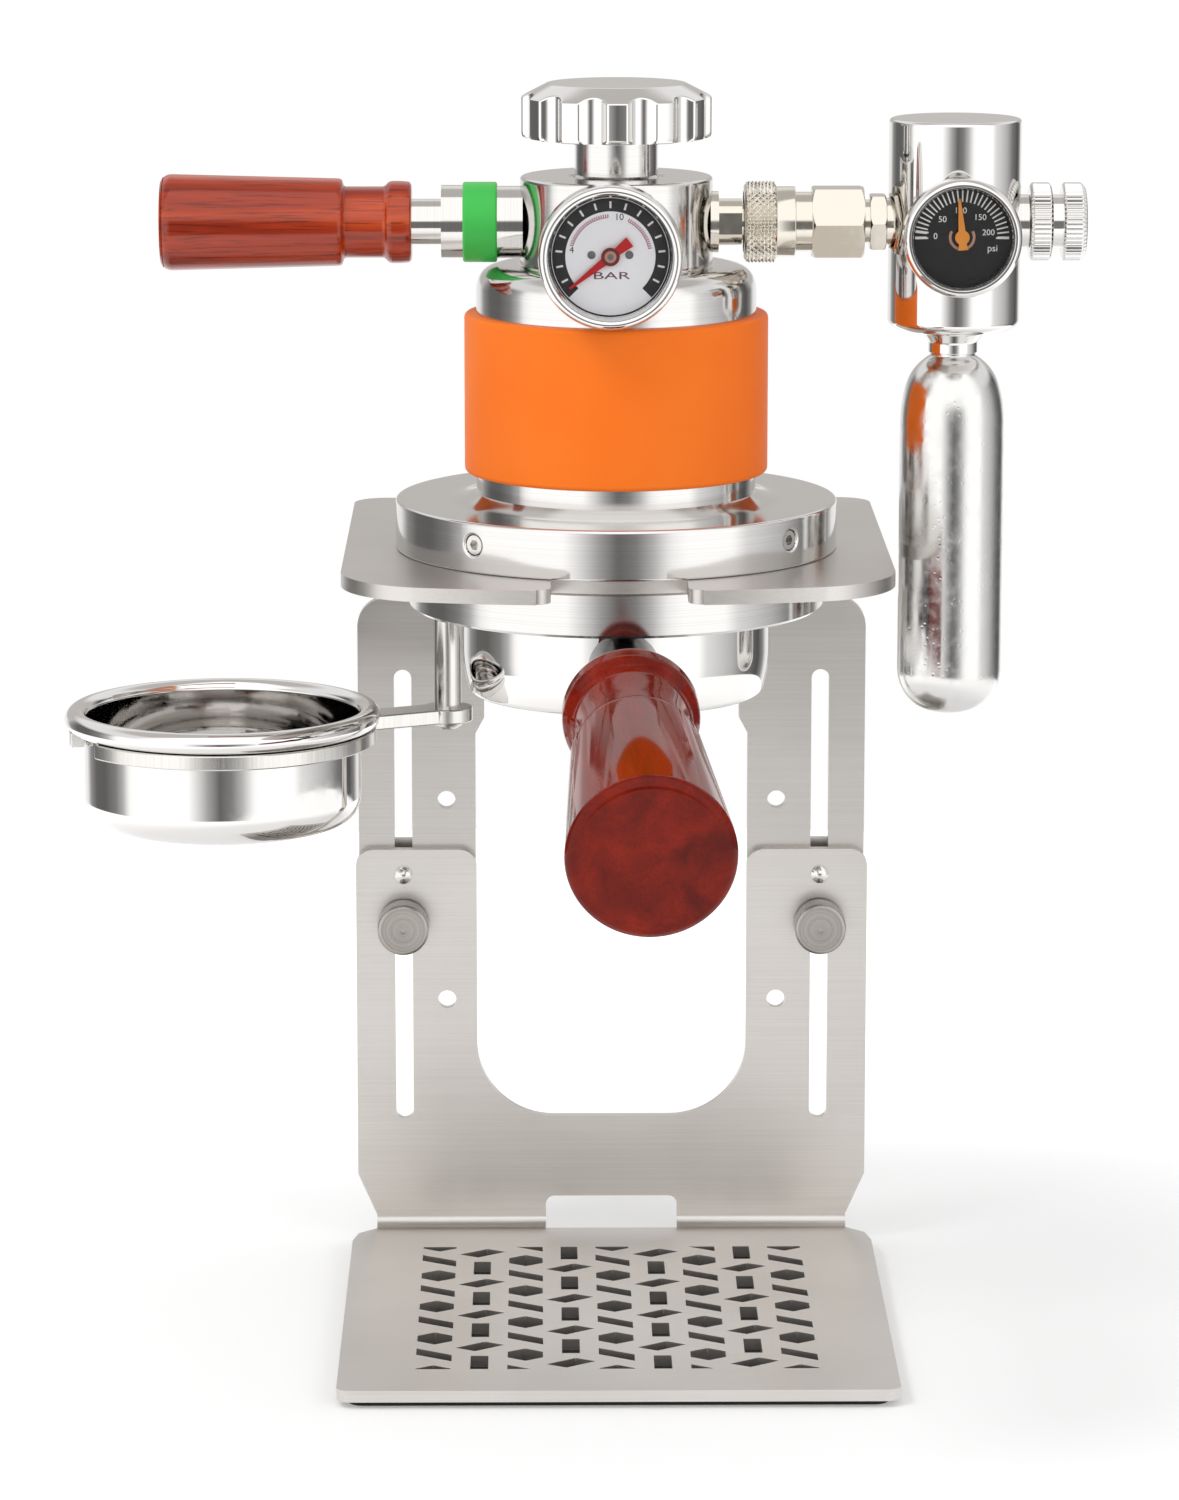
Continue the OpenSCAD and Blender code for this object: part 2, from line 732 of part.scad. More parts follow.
module top_cap() {
    edge = 5;
    steps = 6;
    color("#c9c7c3")
        difference() {
            rotate_extrude()
                polygon(concat(
                    [[0, cap_skirt_z], [cap_skirt_r, cap_skirt_z], [cap_skirt_r, chamber_top_z],
                     [chamber_r, chamber_top_z]],
                    [for (i = [0 : steps])
                        let (a = 90 * i / steps)
                            [chamber_r - edge + edge * cos(a), shoulder_z - edge + edge * sin(a)]],
                    [[head_r, shoulder_z], [head_r, head_z - 0.8], [head_r - 0.8, head_z], [0, head_z]]));
            // Hollow of the skirt, and the threaded filling hole
            rod(cap_inner_r, cap_skirt_z - 1, shoulder_z - 4);
            rod(cap_bore_r, cap_skirt_z, head_z + 1);
            // Groove for the cap's seal
            tube(cap_skirt_r + 1, cap_skirt_r - 1.4, chamber_top_z - 5, chamber_top_z - 3);
            // Ports for the handle socket, the coupler plug and the gauge
            to_left() rod(4.6, socket_in - 0.5, head_r + 1);
            to_right() rod(4, port_in, head_r + 1);
            // Spot faces under the two collars
            to_left() rod(7.55, head_r - 0.6, head_r + 1);
            to_right() rod(6.4, head_r - 0.6, head_r + 1);
            to_front(-gauge_x, brew_gauge_z) rod(3, port_in, head_r + 1);
            // Passages from the ports down to the chamber
            translate([port_in + 2, 0, 0]) rod(1.3, shoulder_z - 5, side_z);
            translate([-gauge_x, -port_in - 1.6, 0]) rod(1.3, shoulder_z - 5, brew_gauge_z);
        }
}

module cap_seal() {
    color("#20201f") wire_ring(cap_skirt_r - 0.55, 0.75, chamber_top_z - 4);
}

module stem_seal() {
    color("#20201f") tube(6.9, 3.1, stem_low_z - 2, stem_low_z);
}

module fill_stem() {
    color("#cfcdc9") {
        rod(stem_thread_r, stem_low_z, stem_flange_z);
        rod(stem_r, stem_flange_z, knob_low_z);
        rod(5, knob_low_z, knob_low_z + 5);
        rod(3, stem_low_z - 2.6, stem_low_z);
    }
}

module fill_knob() {
    scallop_r = 3.1;
    color("#cfcdc9")
        difference() {
            intersection() {
                translate([0, 0, knob_low_z])
                    linear_extrude(knob_top_z - knob_low_z)
                        difference() {
                            circle(r = knob_r);
                            for (i = [0 : knob_lobes - 1])
                                rotate(-90 + (i + 0.5) * 360 / knob_lobes)
                                    translate([knob_r + 1.3, 0]) circle(r = scallop_r);
                        }
                rotate_extrude()
                    polygon([[0, knob_low_z], [knob_r - 1, knob_low_z], [knob_r + 0.1, knob_low_z + 1.1],
                             [knob_r + 0.1, knob_low_z + knob_side], [knob_flat_r, knob_top_z],
                             [0, knob_top_z]]);
            }
            rod(5, knob_low_z - 1, knob_low_z + 5);
        }
}

module handle_socket() {
    color("#c0beb9")
        to_left()
            difference() {
                union() {
                    rod(4.6, socket_in, head_r);
                    rod(7.55, head_r - 0.6, socket_end);
                    rod(6.7, socket_end, band_end);
                }
                rod(thread_r, socket_in + 2, band_end + 1);
            }
}

module green_band() {
    edge = 0.6;
    color("#3db54a")
        to_left()
            rotate_extrude()
                polygon([[6.7, socket_end], [8.4 - edge, socket_end], [8.4, socket_end + edge],
                         [8.4, band_end - edge], [8.4 - edge, band_end], [6.7, band_end]]);
}

module handle_nut() {
    color("#b9b6b0") to_left() tube(7.75, thread_r, band_end, nut_end);
}

module handle_rod() {
    color("#d0cec9")
        to_left() {
            rod(thread_r, socket_in + 3, nut_end);
            rod(rod_r, nut_end, rod_end);
            rod(tang_r, rod_end, tang_end);
        }
}

// Turned wood grip on a steel rod, along +Z
module side_grip() {
    edge = 2;
    steps = 4;
    color("#a63c1e")
        to_left()
            difference() {
                rotate_extrude()
                    polygon(concat(
                        [[0, rod_end], [7.9, rod_end], [8.6, rod_end + 0.9], [8.6, side_collar_end - 0.9],
                         [7.5, side_collar_end], [7.4, side_neck_end - 0.6], [7.8, side_neck_end],
                         [8.6, side_neck_end], [9.1, side_neck_end + 0.5]],
                        [for (i = [0 : steps])
                            let (a = 90 * i / steps)
                                [10.1 - edge + edge * cos(a), side_grip_end - edge + edge * sin(a)]],
                        [[0, side_grip_end]]));
                rod(tang_r, rod_end - 1, tang_end);
            }
}

module coupler_plug() {
    color("#cfc6b4")
        to_right()
            difference() {
                union() {
                    rod(4, port_in + 4, head_r);
                    rod(6.4, head_r - 0.6, plug_collar_end);
                    intersection() {
                        rod(4.85, plug_collar_end, plug_neck_end);
                        translate([-5, -4.3, plug_collar_end]) cube([10, 8.6, plug_neck_end - plug_collar_end]);
                    }
                    rod(plug_r, plug_neck_end, ball_x - 1);
                    rod(3.1, ball_x - 1, ball_x + 1);
                    rod(plug_r, ball_x + 1, plug_end - 1);
                    translate([0, 0, plug_end - 1]) cylinder(r1 = plug_r, r2 = 3.2, h = 1);
                }
                rod(1.5, 0, plug_end + 1);
            }
}

module coupler_body() {
    color("#cfc6b4")
        to_right()
            difference() {
                union() {
                    rod(6.25, sleeve_start + 0.8, socket_neck_end + 0.1);
                    // Hexagon with its corners turned off
                    intersection() {
                        translate([0, 0, socket_neck_end])
                            rotate([0, 0, 30])
                                cylinder(r = hex_af / 2 / cos(30), h = hex_end - socket_neck_end, $fn = 6);
                        rotate_extrude()
                            polygon([[0, socket_neck_end], [7.2, socket_neck_end], [8.6, socket_neck_end + 0.9],
                                     [8.6, hex_end - 0.9], [7.2, hex_end], [0, hex_end]]);
                    }
                    rod(4.6, hex_end - 0.1, outlet_end);
                }
                rod(plug_r + 0.1, sleeve_start, plug_end + 1.4);
                rod(1.6, plug_end, outlet_end + 1);
                for (i = [0 : ball_count - 1])
                    rotate([0, 0, 45 + i * 360 / ball_count])
                        translate([0, 0, ball_x]) rotate([0, 90, 0]) rod(1.05, 2, 8);
            }
}

// Sleeve drawn back against its spring to let the plug go
module coupler_sleeve() {
    color("#c7bca8")
        to_right()
            difference() {
                union() {
                    rod(7.8, sleeve_start, sleeve_start + 0.4);
                    rod(8.2, sleeve_start + 0.4, knurl_end - 0.4);
                    rod(7.8, knurl_end - 0.4, knurl_end);
                    rod(7.4, knurl_end, sleeve_end);
                }
                rod(6.45, sleeve_start - 1, sleeve_end + 1);
                rod(7.15, sleeve_start + 1.8, knurl_end - 0.8);
            }
}

module coupler_spring() {
    turns = 4;
    color("#8f8c86")
        to_right()
            for (i = [0 : turns - 1])
                wire_ring(6.85, 0.3, sleeve_start + 2.2 + i * 1.1);
}

module coupler_balls() {
    color("#b0aeaa")
        to_right()
            for (i = [0 : ball_count - 1])
                rotate([0, 0, 45 + i * 360 / ball_count]) translate([4.6, 0, ball_x]) sphere(r = 1, $fn = 24);
}

module outlet_nut() {
    color("#cfc6b4")
        to_right()
            difference() {
                intersection() {
                    translate([0, 0, thin_end])
                        rotate([0, 0, 30])
                            cylinder(r = outlet_af / 2 / cos(30), h = outlet_end - thin_end, $fn = 6);
                    rotate_extrude()
                        polygon([[0, thin_end], [5.8, thin_end], [6.6, thin_end + 0.6],
                                 [6.6, outlet_end - 0.5], [5.8, outlet_end], [0, outlet_end]]);
                }
                rod(4.6, thin_end - 1, outlet_end + 1);
            }
}

module regulator_body() {
    color("#c2c0bc")
        difference() {
            union() {
                at_regulator()
                    rotate_extrude()
                        polygon([[0, cone_low_z], [5.2, cone_low_z], [5.2, cone_low_z + 2.2],
                                 [6.6, reg_low_z - 0.6], [7.6, reg_low_z], [reg_r - 0.8, reg_low_z],
                                 [reg_r, reg_low_z + 0.8],
                                 [reg_r, reg_high_z - 0.8], [reg_r - 0.8, reg_high_z], [0, reg_high_z]]);
                to_right() rod(5, outlet_end, reg_left + 3);
                to_right() rod(5.65, reg_right - 1, bonnet_end);
            }
            // Seat for the cartridge's neck, and the pin above it
            at_regulator() rod(cartridge_neck_r + 0.1, cone_low_z - 1, cartridge_seat_z);
            at_regulator() rod(1.5, cartridge_seat_z - 1, cartridge_seat_z + 6);
            // Outlet, spring chamber and the gauge's port
            to_right() rod(1.6, outlet_end - 1, reg_x);
            to_right() rod(5, reg_x + 2, bonnet_end - 1.6);
            to_right() rod(adjust_screw_r + 0.1, bonnet_end - 2, bonnet_end + 1);
            to_front(reg_x, reg_gauge_z) rod(3, 6, reg_r + 1);
            to_front(reg_x, reg_gauge_z) rod(4.4, reg_r - 0.8, reg_r + 1);
        }
}

module regulator_piston() {
    color("#b3a06a") to_right() rod(4.9, reg_x + 2.2, reg_x + 4.6);
}

module regulator_spring() {
    turns = 3;
    color("#8f8c86")
        to_right()
            for (i = [0 : turns - 1])
                wire_ring(3.6, 0.45, reg_x + 5.05 + i * 1.25);
}

module spring_button() {
    color("#8f8c86") to_right() rod(4.8, adjust_tip - 2, adjust_tip);
}

// Knurled disc with its neck and the screw that loads the spring
module adjust_knob() {
    color("#c6c4bf")
        to_right() {
            rod(adjust_screw_r, adjust_tip, lock_end + 0.2);
            rod(5.6, lock_end + 0.1, adjust_neck_end);
            rod(disc_r, adjust_neck_end, adjust_end - 1.1);
            translate([0, 0, adjust_end - 1.1]) cylinder(r1 = disc_r, r2 = disc_r - 1, h = 1.1);
        }
}

module lock_ring() {
    color("#c6c4bf")
        to_right()
            difference() {
                union() {
                    rod(disc_r, bonnet_end + 0.05, lock_end - 0.6);
                    translate([0, 0, lock_end - 0.6]) cylinder(r1 = disc_r, r2 = disc_r - 0.6, h = 0.6);
                }
                rod(adjust_screw_r + 0.1, bonnet_end - 1, lock_end + 1);
            }
}

module piercing_pin() {
    color("#a8a6a2")
        at_regulator() {
            rod(1.5, cartridge_seat_z + 0.5, cartridge_seat_z + 5.5);
            translate([0, 0, cartridge_seat_z - 1.5]) cylinder(r1 = 0.3, r2 = 1, h = 2);
        }
}

module cartridge_seal() {
    color("#20201f") at_regulator() tube(4.2, 1.9, cartridge_seat_z - 1.2, cartridge_seat_z);
}

module gas_cartridge() {
    bottom_flat = 2.4;
    end_h = 9.4;
    steps = 7;
    color("#cfcecb")
        at_regulator()
            difference() {
                rotate_extrude()
                    polygon(concat(
                        [[0, cartridge_low_z]],
                        [for (i = [0 : steps])
                            let (a = -90 + 90 * i / steps)
                                [bottom_flat + (cartridge_r - bottom_flat) * cos(a),
                                 cartridge_low_z + end_h + end_h * sin(a)]],
                        [[cartridge_r, cartridge_body_z], [cartridge_r - 0.9, cartridge_body_z + 5],
                         [cartridge_r - 2.8, cartridge_body_z + 8.6],
                         [cartridge_r - 4.8, cartridge_body_z + 11.4],
                         [cartridge_neck_r + 0.45, cone_low_z - 1.1],
                         [cartridge_neck_r, cone_low_z - 0.5], [cartridge_neck_r, cartridge_seat_z - 1.4],
                         [0, cartridge_seat_z - 1.4]]));
                rod(1.2, cartridge_body_z, cartridge_seat_z);
                rod(cartridge_r - cartridge_wall, cartridge_low_z + end_h, cartridge_body_z);
            }
}

// Cup-shaped gauge case on a stem, along +Z from the instrument it is screwed into
module gauge_case(r, stem_start, back, front) {
    difference() {
        union() {
            rod(3, stem_start, back);
            rod(4.4, back - 2, back);
            rod(r, back, front);
        }
        rod(r - 1, back + 1.2, front + 1);
    }
}

module gauge_bezel(r, in_r, back, front) {
    rotate_extrude()
        polygon([[r - 0.8, back], [r - 0.4, back], [r, back + 0.5], [r, front - 1.3], [r - 0.5, front - 0.4],
                 [r - 1.2, front], [in_r + 0.3, front - 0.6], [in_r, front - 1.4], [in_r, front - 2.4],
                 [r - 0.8, front - 2.4]]);
}

// Needle with its hub and tail, pointing along +Y of the dial
module gauge_needle(tip, tail, hub, z) {
    translate([0, 0, z])
        linear_extrude(0.5)
            union() {
                circle(r = hub);
                polygon([[-hub * 0.55, 0], [hub * 0.55, 0], [0.22, tip], [-0.22, tip]]);
                polygon([[-hub * 0.35, 0], [hub * 0.35, 0], [hub * 0.7, -tail], [-hub * 0.7, -tail]]);
            }
    rod(0.5, z - 1.2, z + 0.1);
}

brew_dial_z = gauge_front - 4.6;
reg_dial_z = reg_gauge_front - 4.2;

module brew_gauge_case() {
    color("#a9a7a3")
        to_front(-gauge_x, brew_gauge_z) gauge_case(gauge_r - 0.8, 12, brew_case_back, gauge_front - 3.4);
}

module brew_gauge_bezel() {
    color("#d9d7d3")
        to_front(-gauge_x, brew_gauge_z) gauge_bezel(gauge_r, 12.4, gauge_front - 7.4, gauge_front);
}

module brew_gauge_dial() {
    color("#f2f2f0")
        to_front(-gauge_x, brew_gauge_z) difference() {
            rod(gauge_r - 1.8, brew_dial_z - 0.6, brew_dial_z);
            rod(0.7, brew_dial_z - 1, brew_dial_z + 1);
        }
}

module brew_gauge_needle() {
    color("#c81e20")
        to_front(-gauge_x, brew_gauge_z)
            rotate([0, 0, 128]) gauge_needle(10.6, 5, 1.7, brew_dial_z + 0.6);
}

module brew_gauge_lens() {
    color("#e6eef0") to_front(-gauge_x, brew_gauge_z) rod(12.9, gauge_front - 3.2, gauge_front - 2.4);
}

module reg_gauge_case() {
    color("#8d8b88")
        to_front(reg_x, reg_gauge_z) gauge_case(reg_gauge_r - 0.8, 8, reg_r + 1.2, reg_gauge_front - 3);
}

module reg_gauge_bezel() {
    color("#d2d0cc")
        to_front(reg_x, reg_gauge_z) gauge_bezel(reg_gauge_r, 10.2, reg_gauge_front - 6, reg_gauge_front);
}

module reg_gauge_dial() {
    color("#141414")
        to_front(reg_x, reg_gauge_z) difference() {
            rod(reg_gauge_r - 1.8, reg_dial_z - 0.6, reg_dial_z);
            rod(0.7, reg_dial_z - 1, reg_dial_z + 1);
        }
}

module reg_gauge_needle() {
    color("#f08a1c")
        to_front(reg_x, reg_gauge_z)
            rotate([0, 0, 5]) gauge_needle(8, 2.6, 1.5, reg_dial_z + 0.5);
}

module reg_gauge_lens() {
    color("#e6eef0") to_front(reg_x, reg_gauge_z) rod(11, reg_gauge_front - 3, reg_gauge_front - 2.4);
}

// Bottomless bowl, its two lugs and the steel stem inside the handle
module portafilter_body() {
    corner_h = 6.5;
    corner_w = 3;
    steps = 6;
    color("#cfcdca") {
        difference() {
            union() {
                rotate_extrude()
                    polygon(concat(
                        [[bowl_mouth_r, bowl_z], [bowl_r - corner_w, bowl_z]],
                        [for (i = [1 : steps])
                            let (a = -90 + 90 * i / steps)
                                [bowl_r - corner_w + corner_w * cos(a), bowl_z + corner_h + corner_h * sin(a)]],
                        [[bowl_r, bowl_top_z], [bowl_mouth_r, bowl_top_z]]));
                for (a = [0, 180])
                    rotate([0, 0, a])
                        difference() {
                            sector(lug_r, lug_half_angle, lug_low_z, lug_low_z + lug_t);
                            rod(bowl_r - 1, lug_low_z - 1, lug_low_z + lug_t + 1);
                        }
                // Boss on the wall that carries the handle
                intersection() {
                    to_handle() rod(9, 28, bolster_start);
                    rod(bowl_r + 8, bowl_z, ring_z - 0.5);
                }
            }
            rod(bowl_in_r, bowl_z + 2.4, bowl_top_z + 1);
            tube(basket_wire_at + basket_wire_r, bowl_in_r - 1, basket_spring_z - 0.8, basket_spring_z + 0.8);
        }
        to_handle() rod(stem_core_r, bolster_start - 3, stem_core_end);
    }
}

module portafilter_bolster() {
    color("#161616")
        difference() {
            to_handle()
                difference() {
                    translate([0, 0, bolster_start])
                        cylinder(r1 = 7.4, r2 = 8.4, h = bolster_end - bolster_start);
                    rod(stem_core_r + stem_core_gap, bolster_start - 1, bolster_end + 1);
                }
            // Its lower edge follows the bowl's wall
            rod(bowl_r + 0.15, bowl_z - 10, ring_z);
        }
}

module portafilter_grip() {
    edge = 1.7;
    steps = 4;
    color("#7c1f10")
        to_handle()
            difference() {
                rotate_extrude()
                    polygon(concat(
                        [[0, bolster_end], [9, bolster_end], [11.6, bolster_end + 1.2], [12.2, collar_start],
                         [13.4, collar_start], [14, collar_start + 0.8], [14, collar_end - 1.2],
                         [13.2, collar_end], [12.3, collar_end + 0.8], [12, collar_end + 6],
                         [12.2, grip_start - 0.4], [12.6, grip_start], [13.2, grip_start + 0.4]],
                        [for (i = [0 : steps])
                            let (a = 90 * i / steps)
                                [grip_end_r - edge + edge * cos(a), handle_len - edge + edge * sin(a)]],
                        [[0, handle_len]]));
                rod(stem_core_r + stem_core_gap, bolster_end - 1, stem_core_end + stem_core_gap);
            }
}

module filter_basket() {
    wall = 0.8;
    color("#c4c2be")
        difference() {
            rotate_extrude()
                polygon([[0, basket_low_z], [basket_r - 2.2, basket_low_z], [basket_r - 1.2, basket_low_z + 1],
                         [basket_r, basket_low_z + 7], [basket_r, bowl_top_z], [31.4, bowl_top_z],
                         [31.4, bowl_top_z + basket_rim_t], [basket_r - wall, bowl_top_z + basket_rim_t],
                         [basket_r - wall, basket_low_z + 7], [basket_r - 2, basket_low_z + 1.4],
                         [basket_r - 2.8, basket_low_z + 0.7], [0, basket_low_z + 0.7]]);
            for (ring = [1 : 5], i = [0 : 6 * ring - 1])
                rotate([0, 0, i * 60 / ring])
                    translate([ring * 4.4, 0, 0]) rod(0.6, basket_low_z - 1, basket_low_z + 2);
        }
}

module basket_spring() {
    color("#9a9894") wire_ring(basket_wire_at, basket_wire_r, basket_spring_z);
}

module drip_rod() {
    color("#c4c2bd")
        at_drip_rod()
            difference() {
                union() {
                    rod(3, drip_arm_z, plate_under_z);
                    rod(2, plate_under_z, plate_z - 0.2);
                }
                rod(1.5, drip_arm_z - 1, drip_arm_z + 10);
            }
}

// Flat arm with an eye at the rod and an open ring that holds the cup
module drip_arm() {
    gap_half = 12;
    far = 60;
    color("#c9c7c2")
        translate([0, 0, arm_z])
            linear_extrude(drip_arm_t)
                difference() {
                    union() {
                        translate([-drip_x, drip_y]) circle(r = 5.5);
                        translate([-drip_x, drip_y])
                            rotate(180 + drip_angle)
                                translate([0, -4]) square([arm_len - holder_in_r - 0.5, 8]);
                        translate(cup_centre) circle(r = holder_out_r);
                    }
                    translate(cup_centre) circle(r = holder_in_r);
                    translate([-drip_x, drip_y]) circle(r = 1.6);
                    // Open side of the ring, away from the rod
                    translate(cup_centre)
                        rotate(180 + drip_angle)
                            polygon([[0, 0], [far * cos(gap_half), far * sin(gap_half)],
                                     [far * cos(gap_half), -far * sin(gap_half)]]);
                }
}

module drip_screw() {
    color("#b5b3ae")
        at_drip_rod() {
            rod(1.5, arm_z - 0.5, drip_arm_z + 8);
            intersection() {
                translate([0, 0, arm_z + 2.2]) sphere(r = 4.4, $fn = 48);
                rod(3.9, arm_z - 2.2, arm_z);
            }
        }
}

module drip_cup() {
    corner = 6;
    steps = 6;
    in_r = cup_r - cup_wall;
    color("#cfcdca")
        at_cup() {
            rotate_extrude()
                polygon(concat(
                    [[0, cup_low_z]],
                    [for (i = [0 : steps])
                        let (a = -90 + 90 * i / steps)
                            [cup_r - corner + corner * cos(a), cup_low_z + corner + corner * sin(a)]],
                    [[cup_r, rim_z], [in_r, rim_z]],
                    [for (i = [steps : -1 : 0])
                        let (a = -90 + 90 * i / steps)
                            [cup_r - corner + (corner - cup_wall) * cos(a),
                             cup_low_z + corner + (corner - cup_wall) * sin(a)]],
                    [[0, cup_low_z + cup_wall]]));
            translate([0, 0, rim_z])
                rotate_extrude() translate([cup_r + rim_r - 0.4, 0]) circle(r = rim_r, $fn = 32);
        }
}

base_mat();
base_bracket();
guide_screws();
guide_nut_plates();
upper_bracket();
clamp_studs();
left_clamp_knob();
right_clamp_knob();
brew_chamber();
bayonet_ring();
flange_grub_screws();
spigot_seal();
silicone_sleeve();
group_gasket();
shower_screen();
screen_screw();
top_cap();
cap_seal();
stem_seal();
fill_stem();
fill_knob();
handle_socket();
green_band();
handle_nut();
handle_rod();
side_grip();
coupler_plug();
coupler_body();
coupler_sleeve();
coupler_spring();
coupler_balls();
outlet_nut();
regulator_body();
regulator_piston();
regulator_spring();
spring_button();
adjust_knob();
lock_ring();
piercing_pin();
cartridge_seal();
gas_cartridge();
reg_gauge_case();
reg_gauge_bezel();
reg_gauge_dial();
reg_gauge_needle();
reg_gauge_lens();
brew_gauge_case();
brew_gauge_bezel();
brew_gauge_dial();
brew_gauge_needle();
brew_gauge_lens();
portafilter_body();
portafilter_bolster();
portafilter_grip();
filter_basket();
basket_spring();
drip_rod();
drip_arm();
drip_screw();
drip_cup();
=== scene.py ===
# %% [markdown]
# # A pneumatic espresso maker in steel, silicone and lacquered wood
# A folded steel stand carries a turned brew group. Gas from a small cartridge passes a regulator and a
# coupler, and presses hot water through the coffee in the portafilter. A small cup on a swinging arm
# catches the drips. Some pieces come straight from the solid model, because their shape is already right,
# and get a finish here. The others are worked out again as smooth surfaces.
# Sizes are in millimetres until a mesh is made. Blender itself works in metres.

# %% Load the solid model
import json
import math
import bmesh
import bpy
import numpy as np
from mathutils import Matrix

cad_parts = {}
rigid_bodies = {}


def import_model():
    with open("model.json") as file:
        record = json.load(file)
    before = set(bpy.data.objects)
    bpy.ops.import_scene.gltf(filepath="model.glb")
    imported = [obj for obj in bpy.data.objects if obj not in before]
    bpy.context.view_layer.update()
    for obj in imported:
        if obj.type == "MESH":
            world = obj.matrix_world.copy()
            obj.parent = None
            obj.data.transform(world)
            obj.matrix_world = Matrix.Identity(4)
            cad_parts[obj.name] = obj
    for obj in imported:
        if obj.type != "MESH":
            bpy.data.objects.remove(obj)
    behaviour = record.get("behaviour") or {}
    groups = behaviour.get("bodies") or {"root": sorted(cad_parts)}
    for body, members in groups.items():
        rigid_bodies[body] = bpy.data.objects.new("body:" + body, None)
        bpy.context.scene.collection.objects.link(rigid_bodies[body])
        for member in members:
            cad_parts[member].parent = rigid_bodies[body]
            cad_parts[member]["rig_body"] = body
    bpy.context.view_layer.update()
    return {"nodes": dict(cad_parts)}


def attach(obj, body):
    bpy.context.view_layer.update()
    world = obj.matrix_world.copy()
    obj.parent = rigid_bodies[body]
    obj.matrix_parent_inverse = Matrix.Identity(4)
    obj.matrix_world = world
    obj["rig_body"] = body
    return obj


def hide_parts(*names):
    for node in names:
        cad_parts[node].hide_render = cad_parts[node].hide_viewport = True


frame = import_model()
MM = 0.001

# %% [markdown]
# ## Places
# Most pieces are round, so each is described round its own axis and then put in place. A place is a
# 3 by 3 matrix and an offset: the group's own axis, the cross axis through its cap to the left and to the
# right, the axes of the two gauges, which face the front, and the drooping axis of the handle.

# %% Places of the axes, in millimetres
BASE = 4.0                      # top face of the base plate
SIDE = BASE + 237.8             # height of the cross axis
REG_X = 71.0                    # regulator's axis
GAUGE = (-1.7, BASE + 234.6)    # centre of the brew gauge
REG_GAUGE = (REG_X, BASE + 236.9)
CLAMP_X, CLAMP_Z = 47.2, BASE + 71                      # clamp knobs, left and right of the middle
SIDES = (("left", -1), ("right", 1))
HANDLE_Z = BASE + 154.3         # where the handle's axis meets the group's
DROOP, TURN = math.radians(9.8), math.radians(2.1)      # it points down and a little to the right
ROD = (-36.5, 39.0)             # rod of the drip arm
ARM_AT = math.radians(25.3)     # the arm points to the left, and so far to the front


def upright(x=0.0, y=0.0):
    """Local z stays vertical, through (x, y)."""
    return np.eye(3), np.array([x, y, 0.0])


def facing(x, z):
    """Local z points to the front, local y up."""
    return np.array([[1, 0, 0], [0, 0, -1], [0, 1, 0]], float), np.array([x, 0.0, z])


LEFT = np.array([[0, 0, -1], [0, 1, 0], [1, 0, 0]], float), np.array([0, 0, SIDE])
RIGHT = np.array([[0, 0, 1], [0, 1, 0], [-1, 0, 0]], float), np.array([0, 0, SIDE])
tilt = math.pi / 2 + DROOP
ABOUT_X = np.array([[1, 0, 0], [0, math.cos(tilt), -math.sin(tilt)],
                    [0, math.sin(tilt), math.cos(tilt)]])
ABOUT_Z = np.array([[math.cos(TURN), -math.sin(TURN), 0],
                    [math.sin(TURN), math.cos(TURN), 0], [0, 0, 1]])
HANDLE = ABOUT_Z @ ABOUT_X, np.array([0, 0, HANDLE_Z])
# The arm is as long as its rod is far from the group's axis, so the cup swings right under the bowl
CUP_X = ROD[0] - math.hypot(*ROD) * math.cos(ARM_AT)
CUP_Y = ROD[1] - math.hypot(*ROD) * math.sin(ARM_AT)
print("cup centre:", round(CUP_X, 2), round(CUP_Y, 2))

# %% [markdown]
# ## From a grid of points to a mesh
# A surface of two parameters is an array of points with rows and columns. Neighbouring points make
# four-sided faces. The grid may close in either direction. Points that fall together, as at a pole,
# are merged, and the faces are then turned to point outwards. Shading is smooth, except over edges
# that are sharper than a set angle.

# %% Grid to mesh
def add_object(name, data):
    """Puts a mesh, curve, lamp or camera into the scene as an object."""
    added = bpy.data.objects.new(name, data)
    bpy.context.scene.collection.objects.link(added)
    return added


def make_object(name, verts, faces, body, finish, place=None, sharp=38.0, merge=True):
    """One piece: points are turned by the place's matrix, moved by its offset and scaled to metres."""
    turn, offset = place or upright()
    verts = (np.asarray(verts, float) @ np.asarray(turn).T + offset) * MM
    mesh = bpy.data.meshes.new(name)
    mesh.from_pydata(verts.tolist(), [], [list(map(int, face)) for face in faces])
    if merge:
        bm = bmesh.new()
        bm.from_mesh(mesh)
        bmesh.ops.remove_doubles(bm, verts=bm.verts, dist=1e-7)
        bmesh.ops.dissolve_degenerate(bm, dist=1e-8, edges=bm.edges)
        bmesh.ops.delete(bm, geom=[e for e in bm.edges if e.is_wire], context="EDGES")
        bmesh.ops.recalc_face_normals(bm, faces=bm.faces)
        bm.to_mesh(mesh)
        bm.free()
    mesh.polygons.foreach_set("use_smooth", np.ones(len(mesh.polygons), bool))
    mesh.set_sharp_from_angle(angle=math.radians(sharp))
    mesh.materials.append(finish)
    piece = add_object(name, mesh)
    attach(piece, body)
    return piece


def grid_faces(rows, columns, close_rows, close_columns):
    """Face (i, j) joins the points (i, j), (i, j+1), (i+1, j+1), (i+1, j), counted round where it closes."""
    i, j = np.meshgrid(np.arange(rows - (not close_rows)), np.arange(columns - (not close_columns)),
                       indexing="ij")
    i2, j2 = (i + 1) % rows, (j + 1) % columns
    return np.stack([i * columns + j, i * columns + j2, i2 * columns + j2, i2 * columns + j],
                    axis=-1).reshape(-1, 4)


